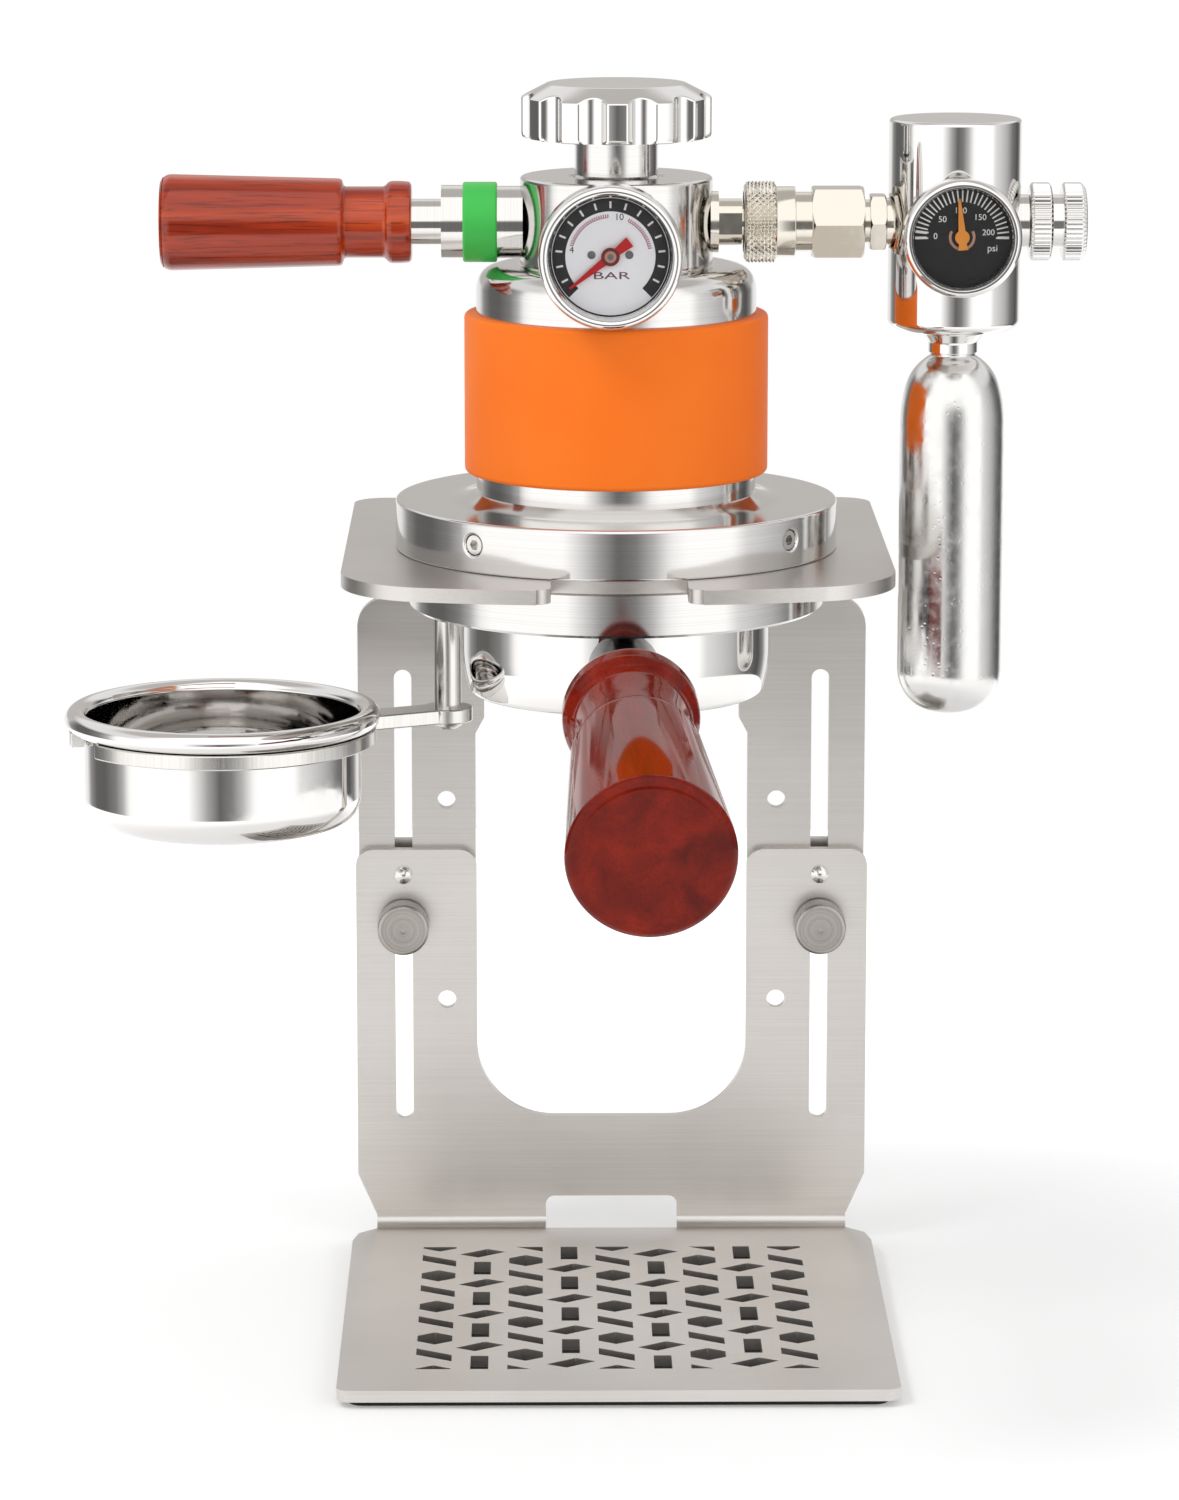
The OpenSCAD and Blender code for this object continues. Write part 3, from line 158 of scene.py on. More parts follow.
def even(piece):
    """Flat faces keep flat shading next to their narrow rounded edges."""
    weighted = piece.modifiers.new("even shading", "WEIGHTED_NORMAL")
    weighted.keep_sharp = True
    return piece


# %% [markdown]
# ## Turned pieces
# A lathe cuts one outline all the way round. Here the outline is a list of corners, and each may say how
# far back it is rounded. The rounded corner is a parabola that touches both edges. Then every outline
# point is carried round the axis. One more function can change the radius with the angle, which makes
# lobes, knurls and drilled dimples out of the same surface.

# %% Rounded outlines and the lathe
def rounded(corners, steps=7):
    """A corner P with cut-back f becomes (1-t)^2 A + 2t(1-t) P + t^2 B, with A and B f away on its edges."""
    points = np.array([c[:2] for c in corners], float)
    cut = np.array([c[2] if len(c) > 2 else 0.0 for c in corners])
    a, b = (points + way / np.maximum(np.linalg.norm(way, axis=1), 1e-9)[:, None] * cut[:, None]
            for way in (np.roll(points, 1, 0) - points, np.roll(points, -1, 0) - points))
    t = np.linspace(0, 1, steps)[None, :, None]
    curve = (1 - t) ** 2 * a[:, None] + 2 * t * (1 - t) * points[:, None] + t ** 2 * b[:, None]
    kept = [curve[k] if cut[k] > 0 else points[k:k + 1] for k in range(len(points))]
    return np.concatenate(kept)


def turned(name, outline, body, finish, place=None, angles=144, shape=None, sharp=38.0):
    """Outline point (r, h) at angle a is (r cos a, r sin a, h). shape(r, h, a) may change the radius."""
    a = np.linspace(0, 2 * np.pi, angles, endpoint=False) if np.isscalar(angles) else np.asarray(angles)
    outline = np.asarray(outline, float)
    r = np.repeat(outline[:, :1], len(a), axis=1)
    h = np.repeat(outline[:, 1:2], len(a), axis=1)
    if shape is not None:
        r = shape(r, h, a[None, :])
    points = np.stack([r * np.cos(a), r * np.sin(a), h], axis=-1)
    faces = grid_faces(len(outline), len(a), True, True)
    return even(make_object(name, points.reshape(-1, 3), faces, body, finish, place, sharp))


def softened(node, width, finish, sharp=math.radians(35)):
    """A copy of a solid, in its place, whose edges sharper than an angle are rounded over a width."""
    source = frame["nodes"][node]
    mesh = source.data.copy()
    mesh.name = "soft_" + node
    bm = bmesh.new()
    bm.from_mesh(mesh)
    bmesh.ops.remove_doubles(bm, verts=bm.verts, dist=2e-6)
    bmesh.ops.dissolve_limit(bm, angle_limit=math.radians(0.3), verts=bm.verts, edges=bm.edges)
    bm.to_mesh(mesh)
    bm.free()
    if "custom_normal" in mesh.attributes:
        mesh.attributes.remove(mesh.attributes["custom_normal"])
    mesh.polygons.foreach_set("use_smooth", np.ones(len(mesh.polygons), bool))
    mesh.set_sharp_from_angle(angle=sharp)
    mesh.materials.clear()
    mesh.materials.append(finish)
    piece = add_object(node + "_edged", mesh)
    bevel = piece.modifiers.new("edges", "BEVEL")
    bevel.width, bevel.segments = width * MM, 2
    bevel.limit_method, bevel.angle_limit = "ANGLE", sharp
    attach(piece, source["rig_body"])
    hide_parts(node)
    return even(piece)


def dress(nodes, finish):
    """Gives solids that stay as they are their finish."""
    for name in nodes.split():
        mesh = frame["nodes"][name].data
        mesh.materials.clear()
        mesh.materials.append(finish)


# %% [markdown]
# ## Colours and nodes
# A colour is written as it looks on a screen, in sRGB. The shader wants linear light, so one function
# turns it. One more function adds a node with its settings and its links.

# %% Colour and node helpers
def linear(hex_colour):
    """Channel c becomes c / 12.92 below 0.04045, and ((c + 0.055) / 1.055) to the power 2.4 above."""
    c = np.array([int(hex_colour[k:k + 2], 16) for k in (1, 3, 5)]) / 255
    return tuple(np.where(c <= 0.04045, c / 12.92, ((c + 0.055) / 1.055) ** 2.4)) + (1.0,)


def put(tree, kind, inputs=None, **settings):
    """Adds a node. settings go on the node itself, and inputs on its sockets: a value, another node's output,
    or another node, which stands for its first output."""
    node = tree.nodes.new("ShaderNode" + kind)
    for key, value in settings.items():
        setattr(node, key, value)
    for key, value in (inputs or {}).items():
        if isinstance(value, bpy.types.Node):
            value = value.outputs[0]
        if isinstance(value, bpy.types.NodeSocket):
            tree.links.new(value, node.inputs[key])
        else:
            node.inputs[key].default_value = value
    return node


def start_material(name):
    """An empty material, its tree of nodes, and the Object coordinates that its patterns read."""
    finish = bpy.data.materials.new(name)
    finish.use_nodes = True
    tree = finish.node_tree
    tree.nodes.clear()
    return finish, tree, put(tree, "TexCoord").outputs["Object"]


def close_material(finish, shader):
    """The shader goes to the material's output, and the material is handed back."""
    put(finish.node_tree, "OutputMaterial", {"Surface": shader})
    return finish


# %% [markdown]
# ## Brushed sheet steel
# The stand is stainless sheet, type 304, with a ground finish: an abrasive belt leaves fine parallel
# scratches. They are a tenth of a millimetre apart on the real sheet, too fine to show here, so they are
# drawn about a quarter of a millimetre apart. The scratches spread the reflection, so the sheet looks grey
# and silky, with a slow cloudy change of tone. The noise is stretched along X, the way the belt ran.

# %% Brushed steel
def brushed_steel(name, colour, dark, rough, spread, size=(45.0, 0.25, 0.25), bump=0.1, cloud=45.0):
    """size is the length of a scratch along x, y and z. Roughness and bump follow the scratches, and the tone
    follows their noise plus a slow noise as wide as the cloud. All are in millimetres."""
    finish, tree, place = start_material(name)
    stretch = put(tree, "Mapping", {"Vector": place, "Scale": tuple(1000 / s for s in size)})
    grain = put(tree, "TexNoise", {"Vector": stretch, "Scale": 1.0, "Detail": 3.0, "Roughness": 0.6})
    slow = put(tree, "TexNoise", {"Vector": place, "Scale": 1000 / cloud, "Detail": 2.0})
    both = put(tree, "Math", {0: grain, 1: slow}, operation="ADD")
    tone = put(tree, "MapRange", {"Value": both, "From Min": 0.7, "From Max": 1.3})
    shade = put(tree, "MixRGB", {0: tone, 1: linear(dark), 2: linear(colour)})
    rough_map = put(tree, "MapRange", {"Value": grain, "From Min": 0.3, "From Max": 0.7,
                                       "To Min": rough - spread, "To Max": rough + spread})
    relief = put(tree, "Bump", {"Height": grain, "Strength": bump, "Distance": 0.03 * MM})
    return close_material(finish, put(tree, "BsdfPrincipled", {
        "Base Color": shade, "Metallic": 1.0, "Roughness": rough_map, "Normal": relief}))


sheet_finish = brushed_steel("brushed stainless sheet", "#DBD7D3", "#CDC9C4", 0.33, 0.03)
plate_finish = brushed_steel("brushed stainless sheet, thick", "#D0CCC8", "#C3BFBA", 0.33, 0.03)
bar_finish = brushed_steel("drawn stainless bar", "#DAD8D4", "#CECBC7", 0.16, 0.02, size=(0.4, 0.4, 30.0),
                           bump=0.05)

# %% [markdown]
# ## Turned and polished steel
# A lathe tool leaves rings round the axis, and polishing takes most of them away. The rings depend on two
# lengths only: how far a point is from the axis, and how far along it. So the pattern reads those two, for
# each axis on its own. The pitch is about 0.3 mm, drawn a little coarser than the real feed.

# %% Turned steel
def turned_steel(name, colour, dark, rough, spread, pitch, bump, centre=(0, 0, 0), turn=(0, 0, 0)):
    """Noise of two lengths, the distance from the axis and the height along it, with one ring in each pitch.
    The axis goes through the centre, and the turn sets it upright. Tone, roughness and bump follow it."""
    finish, tree, place = start_material(name)
    local = put(tree, "Mapping", {"Vector": place, "Location": tuple(-MM * c for c in centre)})
    local = put(tree, "Mapping", {"Vector": local, "Rotation": turn})
    x, y, z = put(tree, "SeparateXYZ", {0: local}).outputs
    flat = put(tree, "CombineXYZ", {0: x, 1: y})
    radius = put(tree, "VectorMath", {0: flat}, operation="LENGTH")
    pair = put(tree, "CombineXYZ", {0: radius.outputs["Value"], 1: z})
    grain = put(tree, "TexNoise", {"Vector": pair, "Scale": 1000 / pitch, "Detail": 2.0})
    slow = put(tree, "TexNoise", {"Vector": place, "Scale": 40.0, "Detail": 2.0})
    tone = put(tree, "MapRange", {"Value": grain, "From Min": 0.3, "From Max": 0.7})
    shade = put(tree, "MixRGB", {0: tone, 1: linear(dark), 2: linear(colour)})
    mixed = put(tree, "Math", {0: grain, 1: slow}, operation="MULTIPLY")
    rough_map = put(tree, "MapRange", {"Value": mixed, "From Min": 0.1, "From Max": 0.4,
                                       "To Min": rough - spread, "To Max": rough + spread})
    relief = put(tree, "Bump", {"Height": grain, "Strength": bump, "Distance": 0.02 * MM})
    return close_material(finish, put(tree, "BsdfPrincipled", {
        "Base Color": shade, "Metallic": 1.0, "Roughness": rough_map, "Normal": relief}))


QUARTER = math.pi / 2
group_finish = turned_steel("turned stainless, group", "#DAD8D6", "#D2D0CE", 0.11, 0.015, 0.3, 0.03)
satin_finish = turned_steel("turned stainless, satin", "#CFCDCA", "#BDBAB6", 0.24, 0.04, 0.5, 0.08)
side_finish = turned_steel("turned stainless, cross axis", "#DAD8D5", "#D2CFCB", 0.10, 0.015, 0.3, 0.03,
                           centre=(0, 0, SIDE), turn=(0, QUARTER, 0))
knob_finish = {side: turned_steel("faced stainless knob, " + side, "#B0ACA7", "#8F8A84", 0.27, 0.06, 0.6, 0.4,
                                  centre=(sign * CLAMP_X, 0, CLAMP_Z), turn=(QUARTER, 0, 0))
               for side, sign in SIDES}

# %% [markdown]
# ## Mirror finishes
# The bowl, the drip cup, the regulator and the cartridge are polished or plated until they mirror the
# room. Such a surface still has a faint haze and very slight waves, which bend the reflections a little.
# The cartridge is zinc-plated deep-drawn steel, and has small pits.

# %% Mirror steel
def mirror_steel(name, colour, rough, wave=12.0, wave_height=0.008, pits=0.0):
    """Slow waves bend the mirror, and a fine haze takes the roughness from 0.6 to 1.5 times its value. A pit
    is the middle of a small cell. The wave's width and height are in millimetres."""
    finish, tree, place = start_material(name)
    slow = put(tree, "TexNoise", {"Vector": place, "Scale": 1000 / wave, "Detail": 1.0})
    haze = put(tree, "TexNoise", {"Vector": place, "Scale": 400.0, "Detail": 3.0})
    rough_map = put(tree, "MapRange", {"Value": haze, "From Min": 0.35, "From Max": 0.75,
                                       "To Min": rough * 0.6, "To Max": rough * 1.5})
    relief = put(tree, "Bump", {"Height": slow, "Strength": 1.0, "Distance": wave_height * MM})
    if pits:
        cells = put(tree, "TexVoronoi", {"Vector": place, "Scale": 700.0})
        pit = put(tree, "MapRange", {"Value": cells, "From Min": 0.0, "From Max": 0.25})
        relief = put(tree, "Bump", {"Height": pit, "Strength": pits, "Distance": 0.04 * MM, "Normal": relief})
    return close_material(finish, put(tree, "BsdfPrincipled", {
        "Base Color": linear(colour), "Metallic": 1.0, "Roughness": rough_map, "Normal": relief}))


mirror_finish = mirror_steel("mirror-polished steel", "#DEDCDA", 0.045)
plated_finish = mirror_steel("nickel-plated brass", "#D6D0C5", 0.13, wave=9.0, wave_height=0.01)
bezel_finish = mirror_steel("polished bezel steel", "#DEDCDA", 0.08)
cartridge_finish = mirror_steel("zinc-plated drawn steel", "#D8D7D5", 0.19, wave=7.0, wave_height=0.02,
                                pits=0.5)
dark_steel = mirror_steel("oiled spring steel", "#77746F", 0.30)

# %% [markdown]
# ## Silicone, rubber and plastic
# The sleeve and the band are moulded silicone: an even colour and a soft, wide and weak highlight. The mat is
# black rubber with a fine grain. The bolster of the handle is glossy black plastic. The dials are enamelled
# and printed, and the needles lacquered: smooth, even films with hardly a grain.

# %% Moulded and printed materials
def moulded(name, colour, shade_colour, rough, grain_mm=0.8, bump=0.02, specular=0.5):
    """The colour follows a slow noise between two near tones, and roughness and bump follow a fine one."""
    finish, tree, place = start_material(name)
    fine = put(tree, "TexNoise", {"Vector": place, "Scale": 1000 / grain_mm, "Detail": 3.0})
    slow = put(tree, "TexNoise", {"Vector": place, "Scale": 35.0, "Detail": 2.0})
    tone = put(tree, "MapRange", {"Value": slow, "From Min": 0.3, "From Max": 0.7})
    shade = put(tree, "MixRGB", {0: tone, 1: linear(shade_colour), 2: linear(colour)})
    rough_map = put(tree, "MapRange", {"Value": fine, "To Min": rough - 0.06, "To Max": rough + 0.06})
    relief = put(tree, "Bump", {"Height": fine, "Strength": bump, "Distance": 0.05 * MM})
    return close_material(finish, put(tree, "BsdfPrincipled", {
        "Base Color": shade, "Roughness": rough_map, "Normal": relief, "Specular IOR Level": specular}))


orange_finish = moulded("orange silicone", "#FF7F22", "#FC7519", 0.5, 0.5, 0.1, specular=0.2)
green_finish = moulded("green silicone", "#49C857", "#3DBB4D", 0.4, 0.5, 0.08, specular=0.35)
rubber_finish = moulded("black rubber mat", "#1C1B1A", "#141312", 0.75, 0.4, 0.6)
seal_finish = moulded("black seal rubber", "#1A1918", "#121110", 0.5, 0.6, 0.2)
plastic_finish = moulded("black moulded plastic", "#151413", "#0F0E0E", 0.22, 0.8, 0.05)
dial_white = moulded("white dial enamel", "#FBFBFD", "#F5F6F9", 0.45)
dial_black = moulded("black dial enamel", "#0B0B0C", "#080808", 0.4)
# This black is print, and it also paints the shadow ring at the brew dial's edge.
black_print_and_painted_shade = moulded("black dial ink and painted shade", "#1B1A1C", "#161517", 0.5)
print_white = moulded("white dial ink", "#F3F2EF", "#E9E8E4", 0.5)
print_red = moulded("red dial ink", "#B0506A", "#A04860", 0.5)
print_brown = moulded("brown dial ink", "#6E4650", "#5F3C46", 0.5)
needle_red = moulded("red needle lacquer", "#D01C20", "#B8161A", 0.3)
needle_dark = moulded("dark red hub lacquer", "#7E2228", "#6C1A20", 0.35)
needle_orange = moulded("orange needle lacquer", "#F2A03A", "#E58E28", 0.4)
hub_finish = moulded("hub brass", "#C79A86", "#B58873", 0.35)
hub_grey = moulded("hub grey", "#6F7376", "#65696C", 0.4)

# %% [markdown]
# ## Lacquered wood
# Both grips are turned from a red hardwood, such as padauk, stained and then lacquered. The grain runs
# along the handle: long fibres, some darker bands a few millimetres wide, and short dark pores. The clear
# lacquer on top is a coat with its own highlight, and the wood under it has none.

# %% Wood
def lacquered_wood(name, light, mid, deep, turn, band_mm, coat_rough, coat, pore_dark=0.55):
    """Noise that is long along local x and band_mm wide picks a tone between deep, mid and light. Finer and
    shorter noise multiplies dark pores into it. A clear coat of its own IOR lies on top."""
    finish, tree, place = start_material(name)
    local = put(tree, "Mapping", {"Vector": place, "Rotation": turn})
    band_place, fibre_place = (
        put(tree, "Mapping", {"Vector": local, "Scale": (1000 / length, 1000 / width, 1000 / width)})
        for length, width in ((90, band_mm), (14, 0.5)))
    band = put(tree, "TexNoise", {"Vector": band_place, "Scale": 1.0, "Detail": 4.0, "Roughness": 0.55,
                                  "Distortion": 0.6})
    fibre = put(tree, "TexNoise", {"Vector": fibre_place, "Scale": 1.0, "Detail": 3.0})
    ramp = put(tree, "ValToRGB", {0: band})
    stops = ramp.color_ramp.elements
    stops.new(0.52)
    for stop, position, colour in zip(stops, (0.3, 0.52, 0.72), (deep, mid, light)):
        stop.position, stop.color = position, linear(colour)
    pores = put(tree, "MapRange", {"Value": fibre, "From Min": 0.34, "From Max": 0.47,
                                   "To Min": pore_dark, "To Max": 1.0})
    shade = put(tree, "MixRGB", {0: 1.0, 1: ramp, 2: pores}, blend_type="MULTIPLY")
    relief = put(tree, "Bump", {"Height": pores, "Strength": 0.25, "Distance": 0.05 * MM})
    return close_material(finish, put(tree, "BsdfPrincipled", {
        "Base Color": shade, "Roughness": 0.45, "Specular IOR Level": 0.0, "Normal": relief,
        "Coat Weight": 1.0, "Coat Roughness": coat_rough, "Coat IOR": coat}))


side_wood = lacquered_wood("lacquered padauk, side grip", "#C2481A", "#A5320C", "#7C1D05", (0, 0, 0), 5.0,
                           coat_rough=0.14, coat=1.5)
# The portafilter's grip droops and turns, so the pattern is turned to lie along it
grip_wood = lacquered_wood("lacquered padauk, dark", "#8C1F06", "#781705", "#5E0F03",
                           (0, -DROOP, QUARTER - TURN), 7.0, coat_rough=0.05, coat=1.25, pore_dark=0.8)

# %% [markdown]
# ## Glass
# The gauges have thin flat lenses of clear glass. Behind each sits a dial, so the lens only adds a faint
# reflection, which grows at a grazing angle. Light that passes straight through keeps its colour.

# %% Clear glass
glass_finish, tree, place = start_material("gauge glass")
smudge = put(tree, "TexNoise", {"Vector": place, "Scale": 90.0})
smear = put(tree, "MapRange", {"Value": smudge, "To Min": 0.0, "To Max": 0.05})
shiny = put(tree, "BsdfGlossy", {"Color": (1, 1, 1, 1), "Roughness": smear})
clear = put(tree, "BsdfTransparent")
weight = put(tree, "Fresnel", {"IOR": 1.22})
close_material(glass_finish, put(tree, "MixShader", {0: weight, 1: clear, 2: shiny}))
print("finishes:", len(bpy.data.materials))

# %% [markdown]
# ## The stand
# Two folded sheets, one behind the other. Their solids are right, but a real sheet has no razor edges: the
# laser-cut edge is broken by the deburring wheel. A copy of each solid gets its edges rounded by 0.3 mm,
# which draws the thin bright lines that make sheet metal look real.

# %% Sheet parts
EDGE = 0.3
softened("base_bracket", EDGE, sheet_finish)
softened("upper_bracket", EDGE, plate_finish)
softened("guide_nut_plates", EDGE, sheet_finish)
softened("drip_arm", EDGE, bar_finish)
dress("base_mat", rubber_finish)
dress("guide_screws clamp_studs", side_finish)
dress("drip_rod drip_screw", bar_finish)

# %% [markdown]
# ## Clamp knobs
# Each knob is a disc with a faced front and a small chamfer. The facing tool leaves rings that catch the
# light as a bow tie, so the finish reads the distance from the knob's own axis.

# %% Clamp knobs
knob_outline = rounded([(0, -67.6), (4.2, -67.6), (4.2, -66.6), (5.8, -66.6, 0.3), (5.8, -60.8, 0.35),
                        (5.15, -60.5, 0.2), (0.9, -60.62, 0.1), (0.0, -60.7)])
for side, sign in SIDES:
    knob = turned(side + "_clamp_knob_disc", knob_outline, side + "_knob", knob_finish[side],
                  facing(sign * CLAMP_X, CLAMP_Z), angles=96)
    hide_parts(side + "_clamp_knob")

# %% [markdown]
# ## Brew group
# The chamber and its flange are turned from one piece. A shallow hollow curve leads from the flange's top
# to the wall. Four grub screws sit in holes in the flange's rim. The holes are dimples in the same turned
# surface: near a screw the radius drops, so the grid is made fine there.

# %% Chamber and flange
FLANGE_R, FLANGE_LOW, FLANGE_TOP = 46.7, BASE + 169.1, BASE + 179.6
CHAMBER_R, CHAMBER_TOP, BORE_R = 29.5, BASE + 217, 25.5
COVE_W, COVE_H = 6.5, 1.5           # width and height of the hollow curve
GRUB_Z, REACH, FINE = FLANGE_LOW + 5.85, 3.0, 0.12      # the screws, and the fine grid round each
grub_at = np.radians(np.array([-40, 50, 140, 230]) - 90)        # counted from the front
cove_r = (COVE_W ** 2 + COVE_H ** 2) / (2 * COVE_H)
cove = np.linspace(0, math.asin(COVE_W / cove_r), 14)
rim_z = np.arange(GRUB_Z - REACH, GRUB_Z + REACH + 0.01, FINE)
flange_in = CHAMBER_R + COVE_W
outline = np.concatenate([
    [(BORE_R, FLANGE_LOW)],
    rounded([(BORE_R, FLANGE_LOW), (FLANGE_R, FLANGE_LOW, 0.5), (FLANGE_R, GRUB_Z)])[1:-1],
    np.stack([np.full_like(rim_z, FLANGE_R), rim_z], axis=1),
    rounded([(FLANGE_R, GRUB_Z), (FLANGE_R, FLANGE_TOP, 0.8), (flange_in, FLANGE_TOP)])[1:-1],
    np.stack([flange_in - cove_r * np.sin(cove), FLANGE_TOP + cove_r * (1 - np.cos(cove))], axis=1),
    [(CHAMBER_R, CHAMBER_TOP), (BORE_R, CHAMBER_TOP)]])


def dimpled(r, h, a):
    """With d the distance from the nearest screw, the rim falls by 2.4 mm as d goes from 2.2 to 2.08 mm, and
    by a chamfer's 0.25 mm as it goes from 2.6 to 2.2 mm."""
    gap = np.abs((a[..., None] - grub_at + np.pi) % (2 * np.pi) - np.pi).min(-1) * FLANGE_R
    d = np.hypot(gap, h - GRUB_Z)
    depth = 2.4 * np.clip((2.2 - d) / 0.12, 0, 1) + 0.25 * np.clip((2.6 - d) / 0.4, 0, 1)
    return np.where((r > FLANGE_R - 0.7) & (np.abs(h - GRUB_Z) < REACH + 0.01), r - depth, r)


fine = (grub_at[:, None] + np.arange(-REACH, REACH + 0.01, FINE) / FLANGE_R).ravel()
around = np.concatenate([np.linspace(0, 2 * np.pi, 144, endpoint=False), fine])
around = np.unique(np.round(np.mod(around, 2 * np.pi), 5))
chamber = turned("chamber_and_flange", outline, "group", group_finish, angles=around, shape=dimpled, sharp=50)
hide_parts("brew_chamber")
dress("flange_grub_screws", side_finish)
dress("bayonet_ring shower_screen screen_screw", group_finish)
dress("spigot_seal group_gasket cap_seal stem_seal cartridge_seal", seal_finish)
print("points round the flange:", len(around))

# %% [markdown]
# ## Sleeve and cap
# The silicone sleeve is a plain band with rounded edges, pulled over the chamber. The cap above it has a
# rounded shoulder and a drum-shaped head.

# %% Sleeve and cap
SLEEVE_R, SLEEVE_LOW, SLEEVE_TOP = 32, BASE + 185.3, BASE + 218.8
sleeve = turned("silicone_sleeve_band", rounded([
    (CHAMBER_R, SLEEVE_LOW), (SLEEVE_R, SLEEVE_LOW, 1.1), (SLEEVE_R, SLEEVE_TOP, 1.1),
    (CHAMBER_R, SLEEVE_TOP)]), "group", orange_finish)
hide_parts("silicone_sleeve")
SHOULDER, HEAD, HEAD_R = BASE + 228.9, BASE + 247.5, 20.25
cap = turned("cap_and_head", rounded([
    (0, CHAMBER_TOP), (CHAMBER_R, CHAMBER_TOP), (CHAMBER_R, SHOULDER, 5.6), (HEAD_R, SHOULDER, 0.35),
    (HEAD_R, HEAD, 0.9), (10.2, HEAD, 0.15), (9.9, HEAD - 0.5), (0, HEAD - 0.5)], 9), "group", group_finish)
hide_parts("top_cap")

# %% [markdown]
# ## Fill knob
# Twelve lobes round the edge give the fingers a hold. Between two lobes the edge follows a small circle
# that cuts into the disc. Seen from the centre, the distance to that circle is
# C cos(d) - sqrt(p^2 - C^2 sin^2(d)), with C the circle's distance, p its radius and d the angle off its
# middle. Where the top slopes down, the smaller of slope and edge wins.

# %% Fill knob
KNOB_LOW, KNOB_TOP, KNOB_R, LOBES = BASE + 255.6, BASE + 266.9, 20.05, 12
CUT_AT, CUT_R = KNOB_R + 1.15, 3.25         # C and p
CONE_LOW, FLAT_R = KNOB_LOW + 8.4, 14.6     # the slope begins here, and ends at the flat top
SOFT = 0.18


def lobed(r, h, a):
    """The radius is the smooth minimum of outline r and scalloped edge e: e - s ln(exp(-(r - e) / s) + 1)."""
    step = 2 * np.pi / LOBES
    d = (a + np.pi / 2) % step - step / 2
    inside = np.clip(CUT_R ** 2 - (CUT_AT * np.sin(d)) ** 2, 0, None)
    edge = np.where(inside > 0, CUT_AT * np.cos(d) - np.sqrt(inside), KNOB_R)
    edge = np.minimum(edge, KNOB_R)
    return np.where(r > 12, edge - SOFT * np.log(np.exp(-(r - edge) / SOFT) + 1.0), r)


slope = np.linspace(0, 1, 26)
outline = np.concatenate([
    [(0, KNOB_LOW), (12.5, KNOB_LOW), (15.5, KNOB_LOW)],
    [(KNOB_R - 0.9, KNOB_LOW), (KNOB_R - 0.3, KNOB_LOW + 0.25), (KNOB_R, KNOB_LOW + 0.9)],
    [(KNOB_R, z) for z in np.linspace(KNOB_LOW + 1.4, KNOB_LOW + 8.2, 6)],
    np.stack([KNOB_R + (FLAT_R - KNOB_R) * slope, CONE_LOW + (KNOB_TOP - CONE_LOW) * slope ** 0.92], 1),
    [(14.2, KNOB_TOP + 0.02), (12.0, KNOB_TOP), (0, KNOB_TOP)]])
knob = turned("lobed_fill_knob", outline, "fill_plug", mirror_finish, angles=LOBES * 30, shape=lobed,
              sharp=45)
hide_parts("fill_knob")
dress("fill_stem", group_finish)

# %% [markdown]
# ## Side handle
# A socket, a green band, a jam nut and a polished rod lead to a turned wooden grip with a collar and a neck.

# %% Side handle
dress("handle_socket handle_nut handle_rod", side_finish)
band = turned("green_ring", rounded([(6.7, 25.0), (8.4, 25.0, 0.6), (8.4, 32.2, 0.6), (6.7, 32.2)]),
              "group", green_finish, LEFT, angles=96)
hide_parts("green_band")
grip = turned("side_wooden_grip", rounded([
    (0, 42.9), (8.3, 42.9, 1.0), (8.6, 44.5, 1.2), (8.6, 47.6, 0.8), (7.45, 48.6, 0.5), (7.45, 57.0, 0.4),
    (8.9, 57.5, 0.35), (9.15, 58.2, 0.4), (10.1, 94.6, 1.6), (9.0, 95.3, 0.6), (0, 95.3)]), "group",
    side_wood, LEFT, angles=96)
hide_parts("side_grip")

# %% [markdown]
# ## Coupler
# The release sleeve of the gas coupler is knurled, so that wet fingers can draw it back. A diamond knurl is
# two sets of slanting grooves. With u and v counting the grooves of either set, each diamond is a little
# pyramid: one minus the larger of |2 frac(u) - 1| and |2 frac(v) - 1|.

# %% Knurled release sleeve
KNURLS, KNURL_LOW, KNURL_TOP, DRUM_R = 34, 27.15, 33.1, 7.85
MARK_R = 8.2                    # the outline's radius where the knurl takes its place


def diamond(r, h, a):
    """Pyramids of 0.75 mm on the drum, one for each knurl round it and one for each 1.5 mm along it."""
    across = a * KNURLS / (2 * np.pi)
    along = (h - 27.1) / 1.5
    u, v = (across + along) % 1, (across - along) % 1
    height = 1 - np.maximum(np.abs(2 * u - 1), np.abs(2 * v - 1))
    zone = (h > KNURL_LOW) & (h < KNURL_TOP) & (r > DRUM_R + 0.05)
    return np.where(zone, DRUM_R + 0.75 * height, r)


rows = np.arange(KNURL_LOW, KNURL_TOP, 0.11)
outline = np.concatenate([
    [(6.45, 26.7), (7.5, 26.7), (DRUM_R, 26.9), (8.0, 27.1)], np.stack([np.full_like(rows, MARK_R), rows], 1),
    [(8.0, 33.15), (DRUM_R, 33.4), (7.45, 33.5), (7.4, 33.6)],
    rounded([(7.4, 33.6), (7.4, 37.5, 0.3), (6.45, 37.5)])[1:-1], [(6.45, 37.5)]])
sleeve = turned("knurled_release_sleeve", outline, "release_sleeve", plated_finish, RIGHT, angles=KNURLS * 14,
                shape=diamond, sharp=60)
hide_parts("coupler_sleeve")
softened("coupler_body", 0.2, plated_finish)
softened("outlet_nut", 0.2, plated_finish)
dress("coupler_plug", plated_finish)
dress("coupler_spring coupler_balls regulator_spring spring_button piercing_pin basket_spring", dark_steel)

# %% [markdown]
# ## Regulator
# The body is a plain polished drum with a cone below, where the cartridge screws in. The adjusting disc and
# its jam ring have straight ribs: the radius swings by a third of a millimetre, fifty times round.

